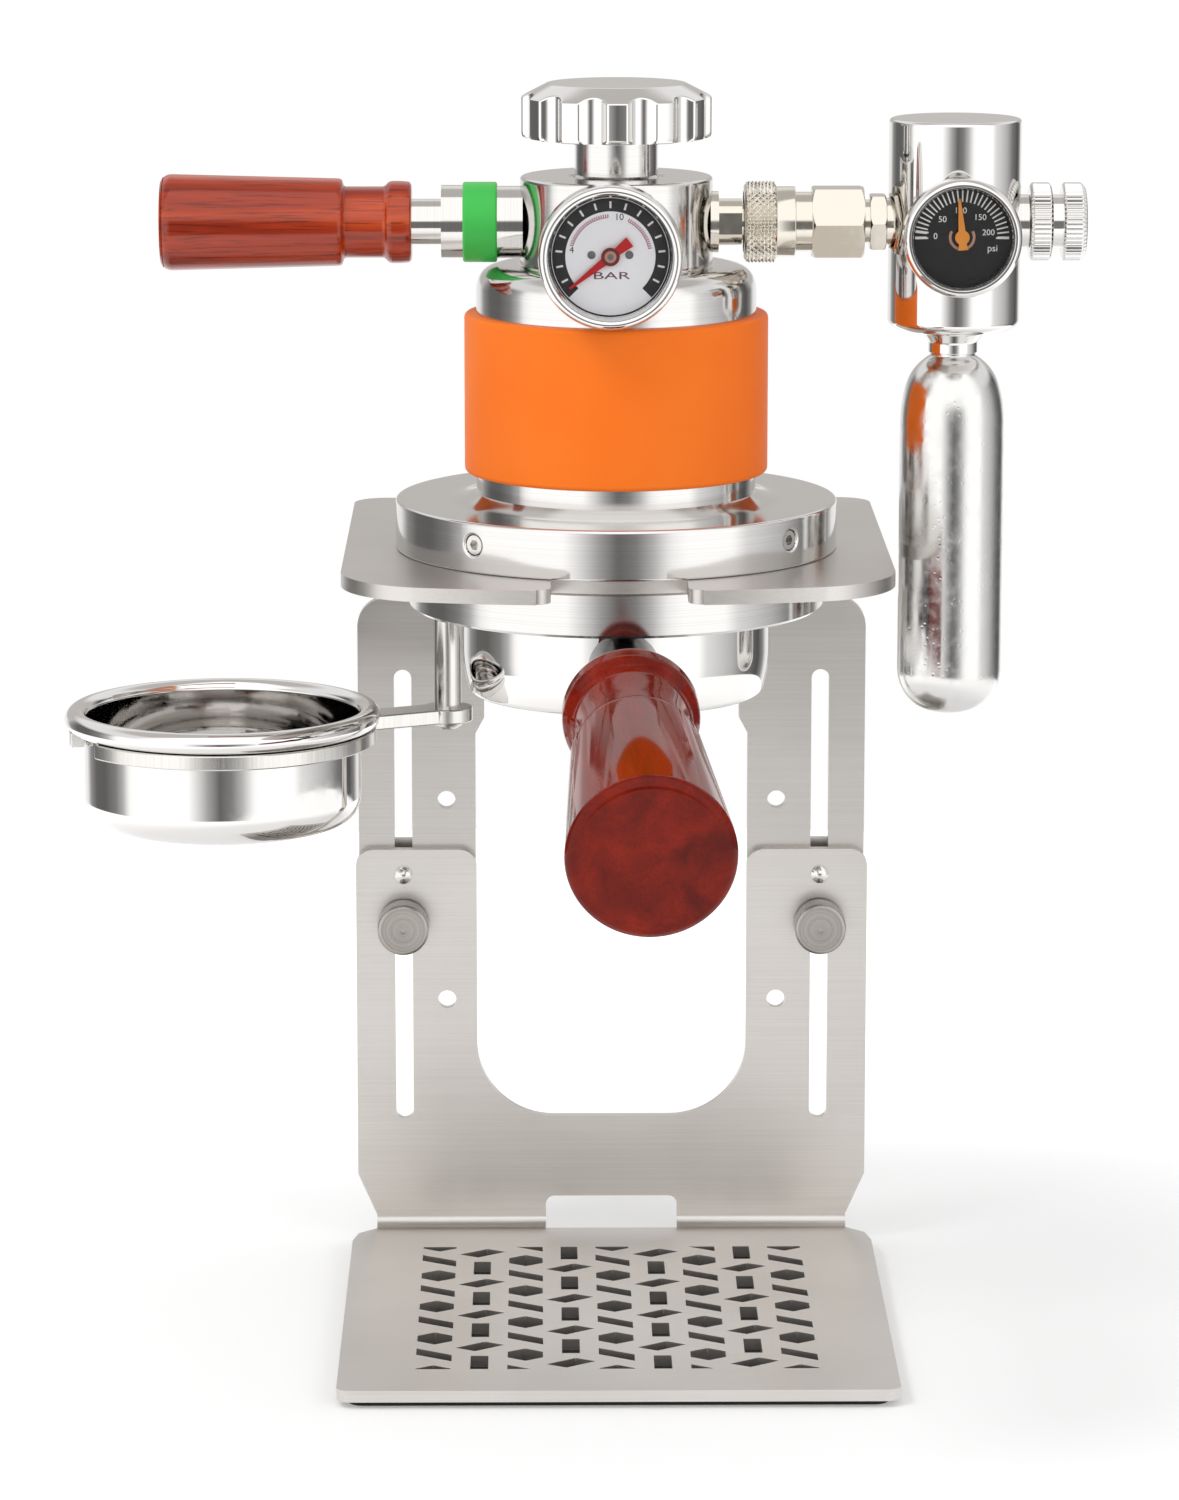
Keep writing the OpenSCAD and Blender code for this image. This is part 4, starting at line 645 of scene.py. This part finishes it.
# %% Regulator, ring and disc
REG_LOW, REG_TOP, REG_R, RIBS = BASE + 210.3, BASE + 259.5, 13.9, 50
drum = turned("regulator_drum", rounded([
    (0, REG_LOW), (5.2, REG_LOW, 0.2), (5.2, BASE + 212.5, 0.4), (6.7, BASE + 214.6, 0.4),
    (11.6, BASE + 215.0, 1.5), (REG_R, BASE + 216.6, 0.9), (REG_R, REG_TOP, 0.9), (0, REG_TOP)]),
    "regulator", mirror_finish, upright(REG_X))
neck = turned("regulator_neck", rounded([(0, 56.5), (5.0, 56.5, 0.2), (5.0, 60), (0, 60)]), "regulator",
              plated_finish, RIGHT, angles=72)
bonnet = turned("regulator_bonnet", rounded([
    (5, 82), (5.65, 82), (5.65, 86.6, 0.3), (3.5, 86.6), (3.5, 85), (5, 85)]), "regulator", side_finish,
    RIGHT, angles=72)
for piece in (drum, neck, bonnet):
    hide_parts("regulator_body")


def ribbed(r, h, a):
    """Between two ribs the rim is cut in by 0.35 mm times |sin|^1.5 of half the angle times the ribs."""
    return np.where(r > 7.6, r - 0.35 * np.abs(np.sin(a * RIBS / 2)) ** 1.5, r)


ring = turned("ribbed_jam_ring", rounded([
    (3.5, 86.65), (7.2, 86.65, 0.2), (8.15, 87.2, 0.2), (8.15, 90.8, 0.2), (7.2, 91.3, 0.2), (3.5, 91.3)]),
    "jam_ring", mirror_finish, RIGHT, angles=12 * RIBS, shape=ribbed, sharp=50)
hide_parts("lock_ring")
disc = turned("ribbed_adjusting_disc", rounded([
    (0, 81), (3.4, 81), (3.4, 91.4), (5.6, 91.4), (5.6, 93.5), (7.4, 93.5, 0.2), (8.15, 93.9, 0.2),
    (8.15, 97.4, 0.2), (7.2, 98.4, 0.3), (0, 98.4)]), "pressure_knob", mirror_finish, RIGHT, angles=12 * RIBS,
    shape=ribbed, sharp=50)
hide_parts("adjust_knob")
dress("regulator_piston", plated_finish)

# %% [markdown]
# ## Gas cartridge
# A small pressure bottle, drawn from one disc of steel: a straight wall, a nearly round bottom and a
# shoulder that is spun in to a threaded neck. Its outline is a smooth curve, so it is given as many points.

# %% Cartridge
LOW, SPUN_LOW, SPUN_H = BASE + 133.2, BASE + 192.2, 17.4        # the shoulder is spun over SPUN_H
FLAT, ROUND_W, ROUND_H = 2.4, 8.6, 9.4                          # flat of the bottom, and its round part
bottom = np.linspace(-np.pi / 2, 0, 22)
spun_z = np.array([0, 4.0, 7.2, 10.0, 12.2, 14.0, 15.6, 16.6, SPUN_H])
spun_r = np.array([11.0, 10.93, 10.65, 10.15, 9.45, 8.5, 7.2, 6.0, 4.9])
up = SPUN_H * np.linspace(0, 1, 26)
outline = np.concatenate([
    [(0, LOW)],
    np.stack([FLAT + ROUND_W * np.cos(bottom), LOW + ROUND_H + ROUND_H * np.sin(bottom)], 1),
    np.stack([np.polyval(np.polyfit(spun_z, spun_r, 6), up), SPUN_LOW + up], 1),
    [(4.75, BASE + 210.0), (4.75, BASE + 219.8), (0, BASE + 219.8)]])
bottle = turned("gas_bottle", outline, "cartridge", cartridge_finish, upright(REG_X), angles=120)
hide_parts("gas_cartridge")

# %% [markdown]
# ## Gauges
# A gauge is a small steel cup, a rolled bezel, a printed dial, a needle and a lens. The print is made as thin
# flat faces a few hundredths of a millimetre above the dial. A tick is a rectangle, turned to its angle. A
# thin black ring at the dial's edge is made the same way, and is painted shadow, not print.

# %% Printing on a dial
def ticks(name, angles, inner, outer, width, height, body, finish, place):
    """Four corners of each tick, for all ticks at once, turned clockwise from 12 o'clock."""
    a = np.radians(np.asarray(angles, float))[:, None]
    r = np.array([inner, outer, outer, inner])[None, :]
    s = np.array([width / 2, width / 2, -width / 2, -width / 2])[None, :]
    points = np.stack([r * np.sin(a) + s * np.cos(a), r * np.cos(a) - s * np.sin(a),
                       np.full((len(a), 4), height)], axis=-1)
    faces = np.arange(4 * len(a)).reshape(-1, 4)
    return make_object(name, points.reshape(-1, 3), faces, body, finish, place, merge=False)


def arc_band(name, start, end, inner, outer, height, body, finish, place):
    """A flat ring sector from angle start to angle end, clockwise from 12 o'clock."""
    a = np.radians(np.linspace(start, end, 97))
    points = np.stack([np.stack([r * np.sin(a), r * np.cos(a), np.full_like(a, height)], -1)
                       for r in (outer, inner)])
    faces = grid_faces(2, len(a), False, False)[:, ::-1]
    return make_object(name, points.reshape(-1, 3), faces, body, finish, place, merge=False)


def lettering(name, text, x, y, size, height, body, finish, place, stretch=1.0):
    """Flat letters, made a mesh, centred at (x, y) of the dial."""
    curve = bpy.data.curves.new(name, "FONT")
    curve.body, curve.size, curve.align_x, curve.align_y = text, size, "CENTER", "CENTER"
    carrier = add_object(name + "_curve", curve)
    bpy.context.view_layer.update()
    flat = bpy.data.meshes.new_from_object(carrier)
    points = np.array([v.co for v in flat.vertices]) * [stretch, 1, 1] + [x, y, height]
    faces = [list(p.vertices) for p in flat.polygons]
    bpy.data.objects.remove(carrier)
    bpy.data.meshes.remove(flat)
    return make_object(name, points, faces, body, finish, place, merge=False)


# %% Brew gauge
FRONT, DIAL = 41.0, 36.4            # the bezel's front and the dial's face, in front of the group's axis
INK = DIAL + 0.03
brew = facing(*GAUGE)
bezel = turned("brew_gauge_rolled_bezel", rounded([
    (14.0, FRONT - 7.4), (14.4, FRONT - 7.4, 0.1), (14.8, FRONT - 6.8, 0.3), (14.8, FRONT - 1.3, 0.7),
    (14.35, FRONT - 0.25, 0.4), (13.6, FRONT, 0.35), (12.95, FRONT - 0.25, 0.25), (12.35, FRONT - 1.8, 0.2),
    (12.35, FRONT - 2.4), (14.0, FRONT - 2.4)]), "group", bezel_finish, brew, angles=120)
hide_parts("brew_gauge_bezel")
dress("brew_gauge_case reg_gauge_case", bezel_finish)
dress("brew_gauge_dial", dial_white)
# The first row is painted shadow: a thin black ring where the bezel's lip shades the dial's edge. The other
# rows are print.
for name, start, end, inner, outer, height, ink in (
        ("brew_dial_painted_shadow_ring", 0, 360, 12.05, 12.4, DIAL + 0.02, black_print_and_painted_shade),
        ("brew_scale_band", -135, 135, 9.2, 11.9, INK, black_print_and_painted_shade),
        ("brew_fine_line_left", -74, -4, 7.85, 7.97, INK, print_red),
        ("brew_fine_line_right", 27, 79, 7.85, 7.97, INK, print_red)):
    arc_band(name, start, end, inner, outer, height, "group", ink, brew)
ticks("brew_scale_ticks", -135 + 16.875 * np.arange(1, 16), 9.85, 11.25, 0.42, DIAL + 0.06, "group",
      print_white, brew)
ticks("brew_fine_marks", np.concatenate([np.arange(-74, -2, 3.2), np.arange(27, 80, 3.2)]), 7.95, 8.6, 0.22,
      INK, "group", print_red, brew)
for name, text, x, y, size, ink, stretch in (
        ("brew_number_ten", "10", 1.8, 8.0, 1.9, black_print_and_painted_shade, 1.0),
        ("brew_number_four", "4", -7.9, 1.3, 1.9, black_print_and_painted_shade, 1.0),
        ("brew_unit", "BAR", 0.2, -4.0, 2.1, print_brown, 2.0)):
    lettering(name, text, x, y, size, DIAL + 0.04, "group", ink, brew, stretch)
rivet = [(0, DIAL), (0.85, DIAL), (0.85, DIAL + 0.12), (0.6, DIAL + 0.2), (0, DIAL + 0.2)]
for side, sign in SIDES:
    turned("brew_rivet_" + side, rivet, "group", hub_grey, facing(GAUGE[0] + sign * 3.85, GAUGE[1] + 0.3),
           angles=28)
dress("brew_gauge_needle", needle_red)
ring = rounded([(1.15, DIAL + 1.05), (1.9, DIAL + 1.05, 0.1), (1.9, DIAL + 1.25, 0.1), (1.15, DIAL + 1.25)])
washer = [(0.6, DIAL + 1.1), (1.2, DIAL + 1.1), (1.2, DIAL + 1.3), (0.6, DIAL + 1.3)]
pin = [(0, DIAL + 1.1), (0.62, DIAL + 1.1), (0.62, DIAL + 1.35), (0, DIAL + 1.38)]
for name, outline, finish in (("ring", ring, needle_dark), ("washer", washer, hub_finish),
                              ("pin", pin, hub_grey)):
    turned("brew_hub_" + name, outline, "brew_needle", finish, brew, angles=48)
dress("brew_gauge_lens reg_gauge_lens", glass_finish)
print("brew gauge:", round(FRONT - DIAL, 2), "mm from the dial to the bezel's front")

# %% Regulator gauge
FRONT_R, DIAL_R = 26.5, 22.3        # the same two lengths for the regulator's gauge
INK_R = DIAL_R + 0.04
gas = facing(*REG_GAUGE)
bezel = turned("regulator_gauge_rolled_bezel", rounded([
    (11.45, FRONT_R - 6), (11.9, FRONT_R - 6, 0.1), (12.25, FRONT_R - 5.4, 0.3), (12.25, FRONT_R - 1.0, 0.6),
    (11.4, FRONT_R, 0.6), (10.8, FRONT_R, 0.4), (10.2, FRONT_R - 1.0, 0.4), (10.2, FRONT_R - 2.4),
    (11.45, FRONT_R - 2.4)]), "regulator", bezel_finish, gas, angles=120)
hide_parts("reg_gauge_bezel")
dress("reg_gauge_dial", dial_black)
ticks("gas_scale_ticks", np.linspace(-90, 90, 29), 7.3, 9.7, 0.3, DIAL_R + 0.03, "regulator",
      print_white, gas)
ticks("gas_scale_ends", [-91.5, 91.5, -82], 7.0, 9.7, 0.32, INK_R, "regulator", print_white, gas)
for name, text, angle in (("zero", "0", -88), ("fifty", "50", -48), ("hundred", "100", -4),
                          ("one_fifty", "150", 42), ("two_hundred", "200", 80)):
    a = math.radians(angle)
    lettering("gas_number_" + name, text, 5.5 * math.sin(a), 5.5 * math.cos(a), 1.75, INK_R, "regulator",
              print_white, gas)
lettering("gas_unit", "psi", 6.3, -2.3, 2.0, INK_R, "regulator", print_white, gas)
arc_band("gas_hub_arc", 60, 300, 2.2, 2.75, DIAL_R + 0.05, "regulator", hub_finish, gas)
dress("reg_gauge_needle", needle_orange)

# %% [markdown]
# ## Portafilter
# The bowl is a bottomless ring of thick mirror-polished steel with a rolled lower edge. Two lugs hold it in
# the ring above, and a boss carries the steel stem of the handle. The grip is one turned outline: a collar
# with two rings, a slim neck, and a long cone that widens to its end.

# %% Bowl and handle
BOWL_LOW, RIM, BOWL_R, WALL_R, LIP_R = BASE + 138.0, BASE + 161.2, 32.7, 29.8, 28.4
bowl = turned("bottomless_bowl", rounded([
    (LIP_R, BOWL_LOW + 0.6, 0.4), (29.6, BOWL_LOW, 0.5), (31.2, BOWL_LOW, 1.2), (BOWL_R, BOWL_LOW + 5.5, 4.2),
    (BOWL_R, RIM, 0.5), (WALL_R, RIM), (WALL_R, BOWL_LOW + 2.4), (LIP_R, BOWL_LOW + 2.4)], 12),
    "portafilter", mirror_finish, angles=180)
boss = turned("handle_boss", rounded([(0, 28), (6.8, 28), (6.8, 33.2, 0.4), (0, 33.2)]), "portafilter",
              mirror_finish, HANDLE, angles=72)
LUG_LOW, LUG_TOP, LUG_R, LUG_IN = BASE + 159.5, BASE + 161.8, 37.0, 32.4
lug = rounded([(LUG_IN, LUG_LOW), (LUG_R, LUG_LOW, 0.4), (LUG_R, LUG_TOP, 0.4), (LUG_IN, LUG_TOP)])
for side, turn in (("right", 0.0), ("left", math.pi)):
    a = np.radians(np.linspace(-17, 17, 24)) + turn
    points = np.stack([lug[:, :1] * np.cos(a), lug[:, :1] * np.sin(a), np.repeat(lug[:, 1:2], len(a), 1)], -1)
    faces = grid_faces(len(lug), len(a), True, False).tolist()
    first_end = np.arange(len(lug)) * len(a)
    faces += [first_end, (first_end + len(a) - 1)[::-1]]
    make_object("bowl_lug_" + side, points.reshape(-1, 3), faces, "portafilter", mirror_finish)
stem = turned("handle_stem", [(0, 30), (4, 30), (4, 60), (0, 60)], "portafilter", mirror_finish, HANDLE,
              angles=48)
for piece in (bowl, boss, stem):
    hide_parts("portafilter_body")
bolster = turned("black_bolster", rounded([(4, 32.4), (7.4, 32.4, 0.3), (8.4, 55.2), (4, 55.2)]),
                 "portafilter", plastic_finish, HANDLE, angles=72)
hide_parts("portafilter_bolster")
NECK_R, END_R, END = 12.2, 16.7, 138.4
grip = turned("long_wooden_grip", rounded([
    (0, 55), (9.0, 55, 0.3), (11.8, 56.2, 0.8), (NECK_R, 58.0, 0.3), (13.3, 58.0, 0.4), (14.0, 59.4, 0.8),
    (14.0, 64.0, 0.9), (13.0, 66.2, 0.6), (NECK_R, 67.2, 1.5), (12.0, 75.0, 3.0), (NECK_R, 83.8, 0.3),
    (13.1, 84.2, 0.25), (13.4, 85.5, 0.6), (END_R, END - 1.4, 0.8), (15.2, END, 0.9), (0, END)], 8),
    "portafilter", grip_wood, HANDLE, angles=144)
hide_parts("portafilter_grip")
dress("filter_basket", satin_finish)

# %% [markdown]
# ## Drip cup
# A pressed cup of thin mirror-polished steel. Its rim is rolled outwards into a bead, and the bead rests on
# the open ring of the arm. The outline runs up outside, round the bead and down inside.

# %% Drip cup
RIM_Z, CUP_R, BEAD = BASE + 129.2, 29.9, 2.3
CUP_LOW, CUP_CORNER, CUP_WALL = RIM_Z - 23.5, 6.5, 0.8
corner = np.linspace(-np.pi / 2, 0, 14)
outside, inside = (
    np.stack([CUP_R - CUP_CORNER + r * np.cos(corner), CUP_LOW + CUP_CORNER + r * np.sin(corner)], 1)
    for r in (CUP_CORNER, CUP_CORNER - CUP_WALL))
round_bead = np.linspace(np.radians(-150), np.radians(165), 34)
bead = np.stack([CUP_R + BEAD - 0.4 + BEAD * np.cos(round_bead), RIM_Z + BEAD * np.sin(round_bead)], 1)
outline = np.concatenate([[(0, CUP_LOW)], outside, [(CUP_R, RIM_Z - 1.6)], bead,
                          [(CUP_R - CUP_WALL, RIM_Z + 0.2)], inside[::-1], [(0, CUP_LOW + CUP_WALL)]])
cup = turned("pressed_drip_cup", outline, "cup", mirror_finish, upright(CUP_X, CUP_Y), angles=180, sharp=60)
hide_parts("drip_cup")

# %% [markdown]
# ## Floor, light and camera
# The object stands on a white floor in soft light from above and from the left. The floor is a wide disc. It
# shines a little, as white as the room behind it, and least near the middle, so that the shadow stays.
# A mirror shows what stands round it, so a mirror sees a studio in the world: lit and dark stretches of wall
# by compass direction, grey behind the object, a grey ceiling and a light box over the camera. The camera
# sees plain white there, and the world's light on dull surfaces is even. The camera looks slightly down,
# with a long lens.

# %% Floor
FLOOR_R, RINGS, SPOKES = 520, 14, 96
floor_finish, tree, place = start_material("white studio floor")
speckle = put(tree, "TexNoise", {"Vector": place, "Scale": 3.0})
tone = put(tree, "MapRange", {"Value": speckle, "To Min": 0.86, "To Max": 0.88})
matt = put(tree, "BsdfDiffuse", {"Color": tone})
away = put(tree, "VectorMath", {0: place}, operation="LENGTH")
fade = put(tree, "MapRange", {"Value": away.outputs["Value"], "From Min": 0.10, "From Max": 0.34,
                              "To Min": 0.14, "To Max": 0.5}, interpolation_type="SMOOTHSTEP")
rays = put(tree, "LightPath").outputs
mirrored = put(tree, "Math", {0: rays["Is Glossy Ray"], 1: 0.22}, operation="MULTIPLY")
strength = put(tree, "Math", {0: fade, 1: mirrored}, operation="MAXIMUM")
lift = put(tree, "Emission", {"Color": (1, 1, 1, 1), "Strength": strength})
seen = put(tree, "Math", {0: rays["Is Camera Ray"], 1: rays["Is Glossy Ray"]}, operation="MAXIMUM")
seen = put(tree, "Math", {0: seen, 1: rays["Is Transmission Ray"]}, operation="MAXIMUM")
lift_seen = put(tree, "MixShader", {0: seen, 2: lift})
close_material(floor_finish, put(tree, "AddShader", {0: matt, 1: lift_seen}))
spoke_a = np.linspace(0, 2 * np.pi, SPOKES, endpoint=False)
ring_r = np.linspace(0.001, FLOOR_R, RINGS)
floor_points = np.stack([np.outer(ring_r, np.cos(spoke_a)), np.outer(ring_r, np.sin(spoke_a)),
                         np.zeros((RINGS, SPOKES))], -1).reshape(-1, 3)
floor_mesh = bpy.data.meshes.new("studio_floor")
floor_mesh.from_pydata((floor_points * MM).tolist(), [], grid_faces(RINGS, SPOKES, False, True).tolist())
floor_mesh.flip_normals()
floor_mesh.materials.append(floor_finish)
add_object("studio_floor", floor_mesh)
print("floor faces up:", floor_mesh.polygons[0].normal.z > 0)

# %% World, its wall
BRIGHT = 1.6                        # a colour ends at 1, so levels are shares of this, and it is the strength
WALL = [(-180, 1.0), (-152, 1.0), (-141, 0.35), (-128, 0.16), (-113, 0.15), (-98, 0.28), (-89, 0.6),
        (-82, 1.3), (-74, 1.5), (-28, 1.5), (-19, 1.0), (-10, 0.5), (0, 0.17), (10, 0.28), (19, 0.65),
        (28, 1.3), (36, 1.5), (62, 1.5), (71, 1.0), (84, 0.8), (97, 0.6), (113, 0.24), (133, 0.1),
        (143, 0.3), (152, 1.0), (180, 1.0)]     # degrees from the camera's side, to the right, and the level


def share(*levels):
    """A colour of three levels, each divided by BRIGHT."""
    return tuple(level / BRIGHT for level in levels) + (1,)


world = bpy.data.worlds.new("studio")
bpy.context.scene.world = world
world.use_nodes = True
tree = world.node_tree
tree.nodes.clear()
x, y, z = put(tree, "SeparateXYZ", {0: put(tree, "TexCoord").outputs["Generated"]}).outputs
forwards = put(tree, "Math", {0: y, 1: -1.0}, operation="MULTIPLY")
azimuth = put(tree, "Math", {0: x, 1: forwards}, operation="ARCTAN2")
compass = put(tree, "MapRange", {"Value": azimuth, "From Min": -math.pi, "From Max": math.pi})
bands = put(tree, "ValToRGB", {0: compass})
stops = bands.color_ramp.elements
for stop, (angle, level) in zip(stops, (WALL[0], WALL[-1])):
    stop.color = share(level, level, level)
for angle, level in WALL[1:-1]:
    stops.new((angle + 180) / 360).color = share(level, level, level)
print("stretches of wall:", len(stops))

# %% World, its heights and its light
turned_away = put(tree, "Math", {0: azimuth}, operation="ABSOLUTE")
behind, above, lit, high, aside, over = (
    put(tree, "MapRange", {"Value": value, "From Min": low, "From Max": top}, interpolation_type="SMOOTHSTEP")
    for value, low, top in ((turned_away, 2.3, 2.7), (z, -0.02, 0.05), (z, 0.26, 0.45), (z, 0.66, 0.82),
                            (turned_away, 0.9, 1.3), (z, 0.08, 0.22)))
grey_back = put(tree, "Math", {0: behind, 1: above}, operation="MULTIPLY")
in_front = put(tree, "Math", {0: 1.0, 1: aside}, operation="SUBTRACT")
light_box = put(tree, "Math", {0: in_front, 1: over}, operation="MULTIPLY")
room = bands
for where, colour in ((grey_back, share(0.60, 0.58, 0.56)), (lit, share(1.0, 1.0, 1.0)),
                      (high, share(0.64, 0.62, 0.60)), (light_box, share(1.5, 1.5, 1.5))):
    room = put(tree, "MixRGB", {0: where, 1: room, 2: colour})
mirror_light = put(tree, "Background", {"Color": room, "Strength": BRIGHT})
plain_light = put(tree, "Background", {"Color": (1, 1, 1, 1), "Strength": 0.85})
white_back = put(tree, "Background", {"Color": (1, 1, 1, 1), "Strength": 1.0})
rays = put(tree, "LightPath").outputs
shown = put(tree, "MixShader", {0: rays["Is Glossy Ray"], 1: plain_light, 2: mirror_light})
shown = put(tree, "MixShader", {0: rays["Is Camera Ray"], 1: shown, 2: white_back})
put(tree, "OutputWorld", {"Surface": shown})

# %% Lamps
def lamp(name, location, target, size, power):
    """A round soft lamp whose -z axis points from its location to the target. No mirror shows it."""
    light = bpy.data.lights.new(name, "AREA")
    light.shape, light.size, light.energy = "DISK", size, power
    holder = add_object(name, light)
    holder.location = location
    holder.visible_glossy = False
    aim = np.array(target) - np.array(location)
    holder.rotation_euler = (math.atan2(math.hypot(aim[0], aim[1]), -aim[2]), 0,
                             math.atan2(aim[1], aim[0]) - QUARTER)


lamp("key", (-1.0, -0.7, 1.5), (0, 0, 0.1), 0.6, 9.0)
lamp("fill", (1.1, -1.3, 0.9), (0, 0, 0.15), 0.8, 3.0)

# %% Camera
PITCH, YAW = 0.19822, 0.00919       # radians down and to the right
LENS, SENSOR = 136.75, 36.0
camera_data = bpy.data.cameras.new("camera")
camera_data.lens, camera_data.sensor_width = LENS, SENSOR
camera = add_object("camera", camera_data)
camera.location = (-0.0166, -1.1941, 0.3686)
camera.rotation_euler = (QUARTER - PITCH, 0, -YAW)
bpy.context.scene.camera = camera
bpy.context.scene.view_settings.view_transform = "Standard"

# %% [markdown]
# ## The end
# Last, the view layer is brought up to date.

# %% Last update
bpy.context.view_layer.update()
